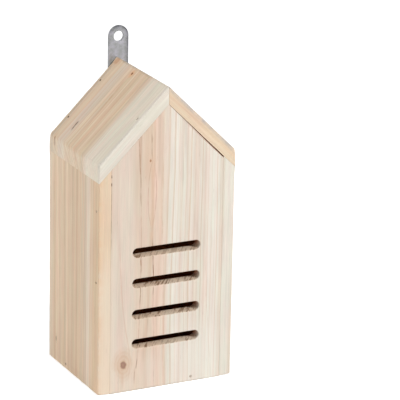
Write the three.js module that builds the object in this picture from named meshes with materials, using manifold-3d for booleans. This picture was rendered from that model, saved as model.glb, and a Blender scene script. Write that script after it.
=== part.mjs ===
// Insect hotel: a small pine house with four slots in its front, hung by a steel plate.
// Millimetres, +Z up. X runs along the front, Y from the front to the back, and the
// origin is the middle of the footprint, on the plane that the house stands on.

import * as THREE from 'three';
import { mergeVertices } from 'three/addons/utils/BufferGeometryUtils.js';
import Module from 'manifold-3d';

const wasm = await Module();
wasm.setup();

// Whole house
const houseWidth = 100;
const houseDepth = 82;
const eaveHeight = 162;
const roofPitch = THREE.MathUtils.degToRad(44.5);

// Boards and how they are fitted
const boardThickness = 8.7;
const wallLift = 0.5;
const jointGap = 0.1;
const panelSideGap = 0.15;
const rightGableGap = 1;

// Sanded edges: the long edges of a board, and the outlines of its two ends
const longEdgeRound = 0.9;
const endEdgeRound = 0.6;
const floorEdgeRound = 0.1;

// Slots in the front panel
const slotCount = 4;
const slotLength = 50;
const slotHeight = 6.4;
const slotSpacing = 21.6;
const topSlotHeight = 98.3;

// Hanger plate, its hanging hole and its screw holes
const plateWidth = 15;
const plateThickness = 1.5;
const plateLength = 66;
const plateRise = 21.4;
const plateOffset = 1;
const plateEdgeRound = 0.2;
const hangHoleDiameter = 7.2;
const screwHoleDiameter = 3.4;
const screwSpacing = 18;

// Countersunk screws
const screwHeadDiameter = 5.6;
const screwRimHeight = 0.2;
const screwShankDiameter = 2.9;
const screwLength = 9.5;
const screwPointLength = 2.5;
const screwClearance = 0.15;
const crossLength = 3;
const crossWidth = 0.7;
const crossDepth = 0.9;

// Brads
const bradLength = 16;
const bradDiameter = 1.2;
const bradHeadDiameter = 1.7;
const bradHeadHeight = 0.5;
const bradPointLength = 1.6;
const bradSink = 0.35;
const bradClearance = 0.1;

// Where the brads go
const upperWallBradHeight = 129.7;
const lowerWallBradHeight = 79.7;
const wallFloorBradHeight = 4;
const wallFloorBradDepth = 12.5;
const panelFloorBradHeight = 3.4;
const panelFloorBradSide = 19.5;
const upperRoofBradRun = 14.5;
const lowerRoofBradInset = 11.8;
const frontRoofBradRun = 21.1;

// How far cutting tools overrun, and how close points are welded
const cutOverrun = 1;
const weldDistance = 0.0001;

// Half the facets of an outline's arcs: at a board's corner, a slot's end and the plate's ends and holes
const cornerFacets = 2;
const slotFacets = 6;
const plateFacets = 12;

// Facets across a rounded edge, and round a screw and a brad
const edgeFacets = 2;
const screwFacets = 20;
const bradFacets = 12;

// Derived places shared by the pieces
const halfWidth = houseWidth / 2;
const halfDepth = houseDepth / 2;
const roofSlope = Math.tan(roofPitch);
const roofPlumbThickness = boardThickness / Math.cos(roofPitch);
const ridgeHeight = eaveHeight + halfWidth * roofSlope;
const wallInnerFace = halfWidth - boardThickness;
const panelInnerFace = halfDepth - boardThickness;
const panelMiddle = halfDepth - boardThickness / 2;

// Height of the roof boards' upper side and underside above a point at distance x from the ridge
const roofTopAt = (x) => ridgeHeight - Math.abs(x) * roofSlope;
const roofUndersideAt = (x) => roofTopAt(x) - roofPlumbThickness;

const finishes = {
  frontPine: new THREE.MeshStandardMaterial({ color: 0xead9c4, roughness: 0.72, metalness: 0 }),
  wallPine: new THREE.MeshStandardMaterial({ color: 0xd8bfa3, roughness: 0.74, metalness: 0 }),
  roofPine: new THREE.MeshStandardMaterial({ color: 0xd3b99f, roughness: 0.74, metalness: 0 }),
  innerPine: new THREE.MeshStandardMaterial({ color: 0xcbb089, roughness: 0.8, metalness: 0 }),
  zincSteel: new THREE.MeshStandardMaterial({ color: 0xa5a7a8, roughness: 0.45, metalness: 0.9 }),
  screwSteel: new THREE.MeshStandardMaterial({ color: 0xb9babb, roughness: 0.35, metalness: 0.95 }),
  bradSteel: new THREE.MeshStandardMaterial({ color: 0x6d655c, roughness: 0.55, metalness: 0.8 }),
};

// Solids

// A geometry with one vertex for each place and no collapsed faces
function welded(geometry) {
  const bare = geometry.clone();
  bare.deleteAttribute('normal');
  bare.deleteAttribute('uv');
  const merged = mergeVertices(bare, weldDistance);
  const corners = merged.index.array;
  const kept = [];
  for (let i = 0; i < corners.length; i += 3) {
    const [a, b, c] = corners.slice(i, i + 3);
    if (a !== b && b !== c && c !== a) kept.push(a, b, c);
  }
  merged.setIndex(kept);
  return merged;
}

function toManifold(geometry) {
  const closed = welded(geometry);
  return new wasm.Manifold(new wasm.Mesh({
    numProp: 3,
    vertProperties: new Float32Array(closed.attributes.position.array),
    triVerts: new Uint32Array(closed.index.array),
  }));
}

function toGeometry(manifold) {
  const mesh = manifold.getMesh();
  const geometry = new THREE.BufferGeometry();
  geometry.setAttribute('position', new THREE.BufferAttribute(mesh.vertProperties, mesh.numProp));
  geometry.setIndex(new THREE.BufferAttribute(mesh.triVerts, 1));
  const faceted = geometry.toNonIndexed();
  faceted.computeVertexNormals();
  return faceted;
}

// The mesh with every tool cut out of it; the tools are placed in the house's own frame
function cut(mesh, tools) {
  mesh.updateMatrix();
  const toMesh = mesh.matrix.clone().invert();
  let solid = toManifold(mesh.geometry);
  for (const tool of tools) {
    const placed = tool.geometry.clone().applyMatrix4(tool.matrix).applyMatrix4(toMesh);
    solid = solid.subtract(toManifold(placed));
  }
  mesh.geometry = toGeometry(solid);
  return mesh;
}

// Outlines

// A closed outline through [x, z, radius] corners. A corner is sharp where its radius is zero,
// and elsewhere an arc that touches both of its sides.
function roundedOutline(corners) {
  const shape = new THREE.Shape();
  const drawTo = (point, i) => (i === 0 ? shape.moveTo(point.x, point.y) : shape.lineTo(point.x, point.y));
  corners.forEach(([x, z, radius], i) => {
    const corner = new THREE.Vector2(x, z);
    if (radius === 0) {
      drawTo(corner, i);
      return;
    }
    const before = new THREE.Vector2(...corners.at(i - 1)).sub(corner).normalize();
    const after = new THREE.Vector2(...corners[(i + 1) % corners.length]).sub(corner).normalize();
    const halfAngle = before.angleTo(after) / 2;
    const middle = before.clone().add(after).setLength(radius / Math.sin(halfAngle)).add(corner);
    const reach = radius / Math.tan(halfAngle);
    const start = corner.clone().addScaledVector(before, reach);
    const end = corner.clone().addScaledVector(after, reach);
    drawTo(start, i);
    shape.absarc(middle.x, middle.y, radius, start.sub(middle).angle(), end.sub(middle).angle(),
      before.cross(after) > 0);
  });
  shape.closePath();
  return shape;
}

// A slot or strap with two round ends, drawn round its middle
function roundEnded(path, middleX, middleZ, halfRun, radius, upright) {
  const [runX, runZ] = upright ? [0, halfRun] : [halfRun, 0];
  const turn = upright ? 0 : -Math.PI / 2;
  path.absarc(middleX + runX, middleZ + runZ, radius, turn, turn + Math.PI, false);
  path.absarc(middleX - runX, middleZ - runZ, radius, turn + Math.PI, turn + 2 * Math.PI, false);
  path.closePath();
  return path;
}

// An outline in X and Z made solid from its back plane towards the front by its depth,
// with the edges of its two ends rounded over
function extruded(name, outline, backPlane, depth, edgeRound, facets, finish) {
  const geometry = new THREE.ExtrudeGeometry(outline, {
    depth: depth - 2 * edgeRound,
    steps: 1,
    curveSegments: facets,
    bevelThickness: edgeRound,
    bevelSize: edgeRound,
    bevelOffset: -edgeRound,
    bevelSegments: edgeFacets,
  });
  geometry.translate(0, 0, edgeRound);
  const mesh = new THREE.Mesh(geometry, finish);
  mesh.name = name;
  mesh.rotation.x = Math.PI / 2;
  mesh.position.y = backPlane;
  return mesh;
}

// Fasteners

// A solid of revolution about Y through [radius, height] points from its tip to its top
function turned(profile, facets) {
  return new THREE.LatheGeometry(profile.map(([radius, y]) => new THREE.Vector2(radius, y)), facets);
}

// A brad with its head at the top, driven down Y from a surface at zero. Given a margin it is
// the hole that the brad leaves, wider by that margin and open above the surface.
function bradSolid(margin) {
  const wire = bradDiameter / 2 + margin;
  const head = bradHeadDiameter / 2 + margin;
  const underHead = -bradSink - bradHeadHeight - margin;
  const tip = -bradSink - bradLength - margin;
  const top = margin > 0 ? cutOverrun : -bradSink;
  return turned([[0, tip], [wire, tip + bradPointLength], [wire, underHead], [head, underHead],
    [head, top], [0, top]], bradFacets);
}

const bradShape = bradSolid(0);
const bradHole = bradSolid(bradClearance);

// A brad at a point on a surface, driven in against the surface's outward direction
function brad(name, point, outward) {
  const mesh = new THREE.Mesh(bradShape, finishes.bradSteel);
  mesh.name = name;
  mesh.position.copy(point);
  mesh.quaternion.setFromUnitVectors(new THREE.Vector3(0, 1, 0), outward);
  return mesh;
}

// The hole of a fastener that is already in place
function holeOf(mesh, geometry) {
  mesh.updateMatrix();
  return { geometry, matrix: mesh.matrix.clone() };
}

// A countersunk screw with its head at the top, driven down Y from a surface at zero
function screwSolid(margin) {
  const shank = screwShankDiameter / 2 + margin;
  const head = screwHeadDiameter / 2 + margin;
  const coneHeight = (screwHeadDiameter - screwShankDiameter) / 2;
  const tip = -screwLength - margin;
  const top = margin > 0 ? cutOverrun : 0;
  return turned([[0, tip], [shank, tip + screwPointLength], [shank, -screwRimHeight - coneHeight],
    [head, -screwRimHeight], [head, top], [0, top]], screwFacets);
}

const screwHole = screwSolid(screwClearance);

function screw(name, point, outward) {
  const mesh = new THREE.Mesh(screwSolid(0), finishes.screwSteel);
  mesh.name = name;
  mesh.position.copy(point);
  mesh.quaternion.setFromUnitVectors(new THREE.Vector3(0, 1, 0), outward);
  mesh.updateMatrix();
  const arms = [0, Math.PI / 2].map((turn) => {
    const arm = new THREE.BoxGeometry(crossLength, crossDepth + cutOverrun, crossWidth);
    arm.translate(0, (cutOverrun - crossDepth) / 2, 0);
    return { geometry: arm.rotateY(turn), matrix: mesh.matrix.clone() };
  });
  return cut(mesh, arms);
}

// Brads, in the order in which the boards are nailed together

const sides = [['left', -1], ['right', 1]];
const toFront = new THREE.Vector3(0, -1, 0);
const toBack = new THREE.Vector3(0, 1, 0);
const outwardOf = (side) => new THREE.Vector3(side, 0, 0);
const upwardOf = (side) => new THREE.Vector3(side * Math.sin(roofPitch), 0, Math.cos(roofPitch));
const onRoof = (side, run, y) => new THREE.Vector3(side * run, y, roofTopAt(run));

const brads = new THREE.Group();
const wallBrads = {};
const roofBrads = {};
for (const [sideName, side] of sides) {
  const wallPoint = (y, z) => new THREE.Vector3(side * halfWidth, y, z);
  wallBrads[sideName] = [
    brad(`brad_${sideName}_wall_upper`, wallPoint(-panelMiddle, upperWallBradHeight), outwardOf(side)),
    brad(`brad_${sideName}_wall_lower`, wallPoint(-panelMiddle, lowerWallBradHeight), outwardOf(side)),
    brad(`brad_${sideName}_wall_floor`, wallPoint(wallFloorBradDepth, wallFloorBradHeight), outwardOf(side)),
  ];
  const lowerRun = halfWidth - lowerRoofBradInset;
  roofBrads[sideName] = [
    brad(`brad_${sideName}_roof_back_upper`, onRoof(side, upperRoofBradRun, panelMiddle), upwardOf(side)),
    brad(`brad_${sideName}_roof_back_lower`, onRoof(side, lowerRun, panelMiddle), upwardOf(side)),
    brad(`brad_${sideName}_roof_front`, onRoof(side, frontRoofBradRun, -panelMiddle), upwardOf(side)),
  ];
  brads.add(...wallBrads[sideName], ...roofBrads[sideName]);
}
const frontFloorBrad = brad('brad_front_floor',
  new THREE.Vector3(panelFloorBradSide, -halfDepth, panelFloorBradHeight), toFront);
const backFloorBrad = brad('brad_back_floor',
  new THREE.Vector3(panelFloorBradSide, halfDepth, panelFloorBradHeight), toBack);
brads.add(frontFloorBrad, backFloorBrad);

const holesOf = (...meshes) => meshes.map((mesh) => holeOf(mesh, bradHole));

// Walls: upright boards whose tops are bevelled to the roof

function wall(sideName, side) {
  const outerTop = roofUndersideAt(halfWidth) - jointGap;
  const innerTop = roofUndersideAt(wallInnerFace) - jointGap;
  const outline = roundedOutline([
    [side * halfWidth, wallLift, longEdgeRound],
    [side * wallInnerFace, wallLift, longEdgeRound],
    [side * wallInnerFace, innerTop, 0],
    [side * halfWidth, outerTop, 0],
  ]);
  const board = extruded(`${sideName}_wall`, outline, halfDepth, houseDepth, endEdgeRound,
    cornerFacets, finishes.wallPine);
  return cut(board, holesOf(...wallBrads[sideName]));
}

const walls = new THREE.Group();
walls.add(...sides.map(([sideName, side]) => wall(sideName, side)));

// Roof: two boards mitred at the ridge and cut plumb at the eaves, flush with the walls

function roofBoard(sideName, side) {
  const mitre = side * jointGap / 2;
  const outline = roundedOutline([
    [mitre, roofTopAt(mitre), 0],
    [side * halfWidth, roofTopAt(halfWidth), longEdgeRound],
    [side * halfWidth, roofUndersideAt(halfWidth), longEdgeRound],
    [mitre, roofUndersideAt(mitre), 0],
  ]);
  const board = extruded(`${sideName}_roof_board`, outline, halfDepth, houseDepth, endEdgeRound,
    cornerFacets, finishes.roofPine);
  return cut(board, holesOf(...roofBrads[sideName]));
}

const roof = new THREE.Group();
roof.add(...sides.map(([sideName, side]) => roofBoard(sideName, side)));

// Front and back panels: boards with a pointed gable that stand between the walls

function gableOutline(rightTopGap) {
  const side = wallInnerFace - panelSideGap;
  return roundedOutline([
    [-side, 0, longEdgeRound],
    [side, 0, longEdgeRound],
    [side, roofUndersideAt(side) - rightTopGap, 0],
    [0, roofUndersideAt(0) - jointGap, 0],
    [-side, roofUndersideAt(side) - jointGap, 0],
  ]);
}

function frontPanel() {
  const outline = gableOutline(rightGableGap);
  for (let i = 0; i < slotCount; i += 1) {
    const height = topSlotHeight - i * slotSpacing;
    const radius = slotHeight / 2;
    outline.holes.push(roundEnded(new THREE.Path(), 0, height, slotLength / 2 - radius, radius, false));
  }
  const board = extruded('front_panel', outline, -panelInnerFace, boardThickness, endEdgeRound,
    slotFacets, finishes.frontPine);
  const through = [wallBrads.left[0], wallBrads.left[1], wallBrads.right[0], wallBrads.right[1],
    roofBrads.left[2], roofBrads.right[2], frontFloorBrad];
  return cut(board, holesOf(...through));
}

function backPanel(screws) {
  const outline = gableOutline(jointGap);
  const board = extruded('back_panel', outline, halfDepth, boardThickness, endEdgeRound,
    cornerFacets, finishes.innerPine);
  const through = [roofBrads.left[0], roofBrads.left[1], roofBrads.right[0], roofBrads.right[1],
    backFloorBrad];
  return cut(board, [...holesOf(...through), ...screws.map((mesh) => holeOf(mesh, screwHole))]);
}

// Floor: a board between the walls and the two panels, flush with the panels' feet

function floorBoard() {
  const side = wallInnerFace - jointGap;
  const depth = panelInnerFace - jointGap;
  const outline = roundedOutline([
    [-side, 0, 0],
    [side, 0, 0],
    [side, boardThickness, 0],
    [-side, boardThickness, 0],
  ]);
  const board = extruded('floor_board', outline, depth, 2 * depth, floorEdgeRound,
    cornerFacets, finishes.innerPine);
  return cut(board, holesOf(wallBrads.left[2], wallBrads.right[2], frontFloorBrad, backFloorBrad));
}

// Hanger: a round-ended steel strap on the back, with a hanging hole above the ridge

const plateTop = ridgeHeight + plateRise;
const plateRadius = plateWidth / 2;
const plateOuterFace = halfDepth + plateThickness;
const lowerScrewHeight = plateTop - plateLength + plateRadius;

function hangerScrews() {
  return [['upper', lowerScrewHeight + screwSpacing], ['lower', lowerScrewHeight]].map(
    ([place, height]) => screw(`hanger_screw_${place}`,
      new THREE.Vector3(plateOffset, plateOuterFace, height), toBack));
}

function hangerPlate(screws) {
  const middle = plateTop - plateLength / 2;
  const outline = roundEnded(new THREE.Shape(), plateOffset, middle,
    plateLength / 2 - plateRadius, plateRadius, true);
  const holes = [[plateTop - plateRadius, hangHoleDiameter],
    ...screws.map((mesh) => [mesh.position.z, screwHoleDiameter])];
  for (const [height, diameter] of holes) {
    outline.holes.push(new THREE.Path().absarc(plateOffset, height, diameter / 2, 0, 2 * Math.PI, false));
  }
  const plate = extruded('hanger_plate', outline, plateOuterFace, plateThickness, plateEdgeRound,
    plateFacets, finishes.zincSteel);
  return cut(plate, screws.map((mesh) => holeOf(mesh, screwHole)));
}

const hanger = new THREE.Group();
const screws = hangerScrews();
hanger.add(hangerPlate(screws), ...screws);

const house = new THREE.Group();
house.name = 'insect_hotel';
house.add(frontPanel(), backPanel(screws), walls, floorBoard(), roof, hanger, brads);

export default house;
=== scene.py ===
"""The looks of a small pine house with four slots in its front, hung by a round-ended steel plate.

X runs along the front, Y from the front to the back and Z up, and the origin is the middle of the
house's footprint. Lengths are millimetres until a mesh, a lamp or the camera is made in metres.
Each board is a grid surface drawn round a block, each fastener is a profile turned on its axis, and
each finish is a tree of shader nodes that reads places on the piece.
"""

import logging
import math
from abc import ABC, abstractmethod
from dataclasses import dataclass, replace
from enum import Enum
from functools import partial
from itertools import pairwise
from typing import Callable, ClassVar

import bmesh
import bpy
import numpy as np
from mathutils import Matrix, Vector


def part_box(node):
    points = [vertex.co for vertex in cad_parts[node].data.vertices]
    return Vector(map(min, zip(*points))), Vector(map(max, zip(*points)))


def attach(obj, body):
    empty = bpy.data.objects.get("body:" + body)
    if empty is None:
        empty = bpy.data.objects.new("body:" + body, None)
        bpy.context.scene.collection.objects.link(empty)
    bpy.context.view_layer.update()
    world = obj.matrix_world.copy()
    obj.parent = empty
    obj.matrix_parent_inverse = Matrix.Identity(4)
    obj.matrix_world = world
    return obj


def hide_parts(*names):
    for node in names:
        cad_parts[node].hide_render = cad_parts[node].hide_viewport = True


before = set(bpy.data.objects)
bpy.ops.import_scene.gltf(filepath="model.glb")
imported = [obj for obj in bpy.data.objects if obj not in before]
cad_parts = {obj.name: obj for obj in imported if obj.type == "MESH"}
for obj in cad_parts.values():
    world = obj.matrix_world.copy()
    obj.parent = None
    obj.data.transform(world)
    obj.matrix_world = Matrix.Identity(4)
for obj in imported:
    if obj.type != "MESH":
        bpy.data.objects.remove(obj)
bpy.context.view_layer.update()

log = logging.getLogger("pine_house")

MM = 0.001
ROOF_PITCH = math.radians(44.5)
BODY = "root"
# How closely two points agree that are welded into one
WELD_DECIMALS = 4
# How near to the boards' inner faces a point counts as on them
SKIN = 0.12
# The length of each sine of an uneven line, and how far a seed of one shifts its phase
RIPPLE_WAVES = ((47, 1.7), (23, 2.7), (11, 3.7))

Array = np.ndarray
Triple = tuple[float, float, float]
Pair = tuple[float, float]


def node_corners(node: str) -> tuple[Array, Array]:
    """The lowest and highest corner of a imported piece, in millimetres."""
    low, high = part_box(node)
    return np.array(low) / MM, np.array(high) / MM


def linear(tone: Triple) -> tuple[float, float, float, float]:
    """Turns a tone written as it shows, from 0 to 255, into a shader colour.

    Args:
        tone: Red, green and blue as a screen shows them.

    Returns:
        Red, green, blue and alpha on the shader's own scale.
    """
    shown = np.array(tone) / 255
    value = np.where(shown <= 0.04045, shown / 12.92, ((shown + 0.055) / 1.055) ** 2.4)
    return (*map(float, value), 1.0)


def ripple(place: Array, seed: float) -> Array:
    """A smooth uneven line from -1 to 1: the mean of three sines, whose phases the seed shifts."""
    waves = [np.sin(2 * np.pi * place / length + seed * shift) for length, shift in RIPPLE_WAVES]
    return np.mean(waves, axis=0)


@dataclass(frozen=True)
class House:
    """The main sizes of the house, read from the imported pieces."""

    half_width: float
    half_depth: float
    thickness: float
    wall_foot: float
    ridge: float

    @classmethod
    def measured(cls) -> "House":
        """Reads the sizes from a wall and a roof board."""
        wall_low, wall_high = node_corners("left_wall")
        roof_low, roof_high = node_corners("left_roof_board")
        return cls(
            half_width=-roof_low[0],
            half_depth=roof_high[1],
            thickness=wall_high[0] - wall_low[0],
            wall_foot=wall_low[2],
            ridge=roof_high[2] - roof_high[0] * math.tan(ROOF_PITCH),
        )

    def roof_top(self, x: Array | float) -> Array | float:
        """Height of the roof's upper side over a place x from the ridge."""
        return self.ridge - np.abs(x) * math.tan(ROOF_PITCH)

    def roof_under(self, x: Array | float) -> Array | float:
        """Height of the roof's underside over a place x from the ridge."""
        return self.roof_top(x) - self.thickness / math.cos(ROOF_PITCH)

    def lines_chamber(self, points: Array) -> Array:
        """Tells which points are on the boards' inner faces.

        Args:
            points: Points of a board.

        Returns:
            1 for those, 0 for the others.
        """
        x, y, z = points.T
        wide = np.abs(x) < self.half_width - self.thickness + SKIN
        deep = np.abs(y) < self.half_depth - self.thickness + SKIN
        return (wide & deep & (z > self.thickness - SKIN) & (z < self.roof_under(x) + SKIN)).astype(float)


@dataclass
class Surface:
    """Points in millimetres, four-cornered faces over them, and how far each point is on an edge."""

    points: Array
    faces: Array
    edge: Array

    @classmethod
    def patch(cls, grid: Array, edge: Array | float = 0.0, kept: Array | None = None) -> "Surface":
        """Joins a grid of points into faces.

        Args:
            grid: Points in rows and columns.
            edge: The edge value of each point, or of all of them.
            kept: Which cells of the grid become faces, all of them if left out.

        Returns:
            The surface of the grid.
        """
        rows, columns = grid.shape[:2]
        index = np.arange(rows * columns).reshape(rows, columns)
        cells = np.stack([index[:-1, :-1], index[1:, :-1], index[1:, 1:], index[:-1, 1:]], axis=-1)
        faces = cells.reshape(-1, 4) if kept is None else cells[kept]
        return cls(grid.reshape(-1, 3), faces, np.broadcast_to(edge, (rows, columns)).reshape(-1))

    @classmethod
    def welded(cls, parts: list["Surface"]) -> "Surface":
        """Joins surfaces at the points that they share.

        Args:
            parts: Surfaces that meet along their borders.

        Returns:
            One surface with each place held once. Cells that have closed up to nothing are gone.
        """
        starts = np.cumsum([0, *(len(part.points) for part in parts)])
        points = np.vstack([part.points for part in parts])
        edge = np.concatenate([part.edge for part in parts])
        faces = np.vstack([part.faces + start for part, start in zip(parts, starts)])
        rounded = np.round(points, WELD_DECIMALS) + 0.0
        _, first, place = np.unique(rounded, axis=0, return_index=True, return_inverse=True)
        faces = place.reshape(-1)[faces]
        corners = np.sort(faces, axis=1)
        distinct = 1 + (np.diff(corners, axis=1) != 0).sum(axis=1)
        used, faces = np.unique(faces[distinct > 2], return_inverse=True)
        first = first[used]
        return cls(points[first], faces.reshape(-1, 4), edge[first])

    def face_lists(self) -> list[list[int]]:
        """Lists each face's corners, with three where two of the four are one point."""
        whole = (np.diff(np.sort(self.faces, axis=1), axis=1) != 0).all(axis=1)
        quads = self.faces[whole].tolist()
        return quads + [list(dict.fromkeys(face)) for face in self.faces[~whole].tolist()]


def mark(mesh: bpy.types.Mesh, title: str, values: Array) -> None:
    """Writes a value for each of a mesh's points, for its shader to read."""
    mesh.attributes.new(title, "FLOAT", "POINT").data.foreach_set("value", values.astype(np.float32))


def make_piece(name: str, surface: Surface, material: bpy.types.Material,
               node: str) -> bpy.types.Object:
    """Makes a surface into a smooth closed piece that stands for a packed one.

    Args:
        name: The piece's name.
        surface: Its shape in millimetres.
        material: Its finish.
        node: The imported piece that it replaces.

    Returns:
        The object, riding on the house's body.
    """
    mesh = bpy.data.meshes.new(name)
    mesh.from_pydata((surface.points * MM).tolist(), [], surface.face_lists())
    mark(mesh, "edge", surface.edge)
    shaper = bmesh.new()
    shaper.from_mesh(mesh)
    bmesh.ops.recalc_face_normals(shaper, faces=shaper.faces)
    shaper.to_mesh(mesh)
    shaper.free()
    mesh.shade_smooth()
    mesh.materials.append(material)
    piece = bpy.data.objects.new(name, mesh)
    bpy.context.scene.collection.objects.link(piece)
    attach(piece, BODY)
    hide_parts(node)
    log.info("%s: %d faces, in place of %s", name, len(mesh.polygons), node)
    return piece


# Grids round a block

# The steps across a rounded edge
ARC_STEPS = 5
# The room between an edge's strip and the next line
GUARD = 0.12
# Half the slit between the two rows that part at a slot's middle
SLIT_HALF = 0.001


def rise(value: Array, start: float, run: float) -> Array:
    """0 up to a start, then rising evenly to 1 over a run."""
    return np.clip((value - start) / run, 0, 1)


def pairs(first: Array | float, second: Array | float) -> Array:
    """Rows of two numbers, either of which may be one number for all the rows."""
    return np.column_stack(np.broadcast_arrays(first, second))


def upright(flat: Array, y: Array | float) -> Array:
    """Stands a grid of (x, z) points up at their y."""
    return np.stack([flat[..., 0], np.broadcast_to(y, flat.shape[:2]), flat[..., 1]], axis=-1)


def unit(directions: Array) -> Array:
    """The same directions, each one long."""
    return directions / np.linalg.norm(directions, axis=-1, keepdims=True)


def spaced(low: float, high: float, pitch: float, clusters: tuple[Array, ...] = ()) -> Array:
    """Spreads grid lines evenly, and closer where a detail needs them.

    Args:
        low: The first line.
        high: The last line.
        pitch: About how far apart the even lines are.
        clusters: Sets of close lines. The even lines within a set's span give way to it.

    Returns:
        The places of the lines in rising order.
    """
    even = np.linspace(low, high, max(2, round((high - low) / pitch) + 1))
    for cluster in clusters:
        outside = (even < cluster.min() - pitch / 4) | (even > cluster.max() + pitch / 4)
        even = np.concatenate([even[outside], cluster])
    _, first = np.unique(np.round(even, 6), return_index=True)
    even = even[first]
    return even[(even >= low) & (even <= high)]


def block_lines(low: float, high: float, widest: Pair, pitch: float,
                clusters: tuple[Array, ...] = ()) -> Array:
    """Sets out the grid lines along one side of a block with rounded edges.

    An edge's strip is crossed at equal turns of its arc: a line whose arc has turned by t lies at
    the tangent of t, as a share of the strip's width.

    Args:
        low: Where the side starts.
        high: Where it ends.
        widest: The largest radius of the edges at each of its two ends.
        pitch: About how far apart the even lines between them are.
        clusters: Sets of close lines, as spaced takes them.

    Returns:
        A row for each line: its place, the end whose strip it is in (-1, 1 or 0) and its share.
    """
    share = np.tan(np.linspace(0, math.pi / 4, ARC_STEPS + 1))
    first, last = low + widest[0] + GUARD, high - widest[1] - GUARD
    inner = spaced(low, high, pitch, clusters)
    kept = inner[(inner > first + GUARD) & (inner < last - GUARD)]
    middle = np.concatenate([[first], kept, [last]])
    parts = ((low, -1, share[::-1]), (middle, 0, 0.0), (high, 1, share))
    return np.vstack([np.column_stack(np.broadcast_arrays(*part)) for part in parts])


def rounded_block(lines: tuple[Array, Array, Array], radius: Callable[[Array], Array]) -> list[Surface]:
    """Draws the six sides of a block whose edges are rounded by a radius that may change.

    A point on the block's skin is held by the nearest point of the block shrunk by the radius, and
    lies one radius from it, in the direction from it to the point's place on the sharp block.

    Args:
        lines: The grid lines along each of the three sides, as block_lines gives them.
        radius: Gives the edge radius at places on the block.

    Returns:
        One surface for each side, meeting the others point by point.
    """
    sides = []
    for flat in range(3):
        across, along = (flat + 1) % 3, (flat + 2) % 3
        a, b = lines[across], lines[along]
        step_a = np.diff(a[:, 0] + a[:, 1] * a[:, 2])
        step_b = np.diff(b[:, 0] + b[:, 1] * b[:, 2])
        least = 3 * SLIT_HALF
        kept = (step_a > least)[:, None] & (step_b > least)[None, :]
        for end in (lines[flat][0], lines[flat][-1]):
            grid = np.zeros((len(a), len(b), 3, 3))
            grid[..., across, :] = a[:, None, :]
            grid[..., along, :] = b[None, :, :]
            grid[..., flat, :] = end
            place, side, share = grid[..., 0], grid[..., 1], grid[..., 2]
            reach = radius(place)[..., None]
            lean = unit(side * share)
            points = place - side * reach + lean * reach
            turned = (1 - np.abs(lean).max(axis=-1)) / (1 - math.sqrt(0.5))
            sides.append(Surface.patch(points, np.clip(turned, 0, 1), kept))
    return sides


def swept_ring(middles: Array, outwards: Array, offsets: Array, depths: Array, edge: Array) -> Surface:
    """Carries a closed outline through a thickness while it grows or shrinks.

    A ring's point is the outline's middle line plus its outward direction times the ring's offset,
    at the ring's depth.

    Args:
        middles: The (x, z) points that the outline is measured from.
        outwards: The outward direction at each of them.
        offsets: The distance from the middle line, one for each ring.
        depths: The y of each ring.
        edge: The edge value of each ring.

    Returns:
        The band of all the rings, closed on itself.
    """
    flat = middles[None] + outwards[None] * offsets[:, None, None]
    grid = upright(np.concatenate([flat, flat[:, :1]], axis=1), depths[:, None])
    return Surface.patch(grid, edge[:, None])


def quarter(steps: int = ARC_STEPS) -> tuple[Array, Array]:
    """Sine and one less cosine of a quarter turn, in equal steps."""
    turn = np.linspace(0, math.pi / 2, steps + 1)
    return np.sin(turn), 1 - np.cos(turn)


# Shader nodes

Socket = bpy.types.NodeSocket
Sockets = dict[str, bpy.types.NodeSocket]
Value = float | tuple | Socket


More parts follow.
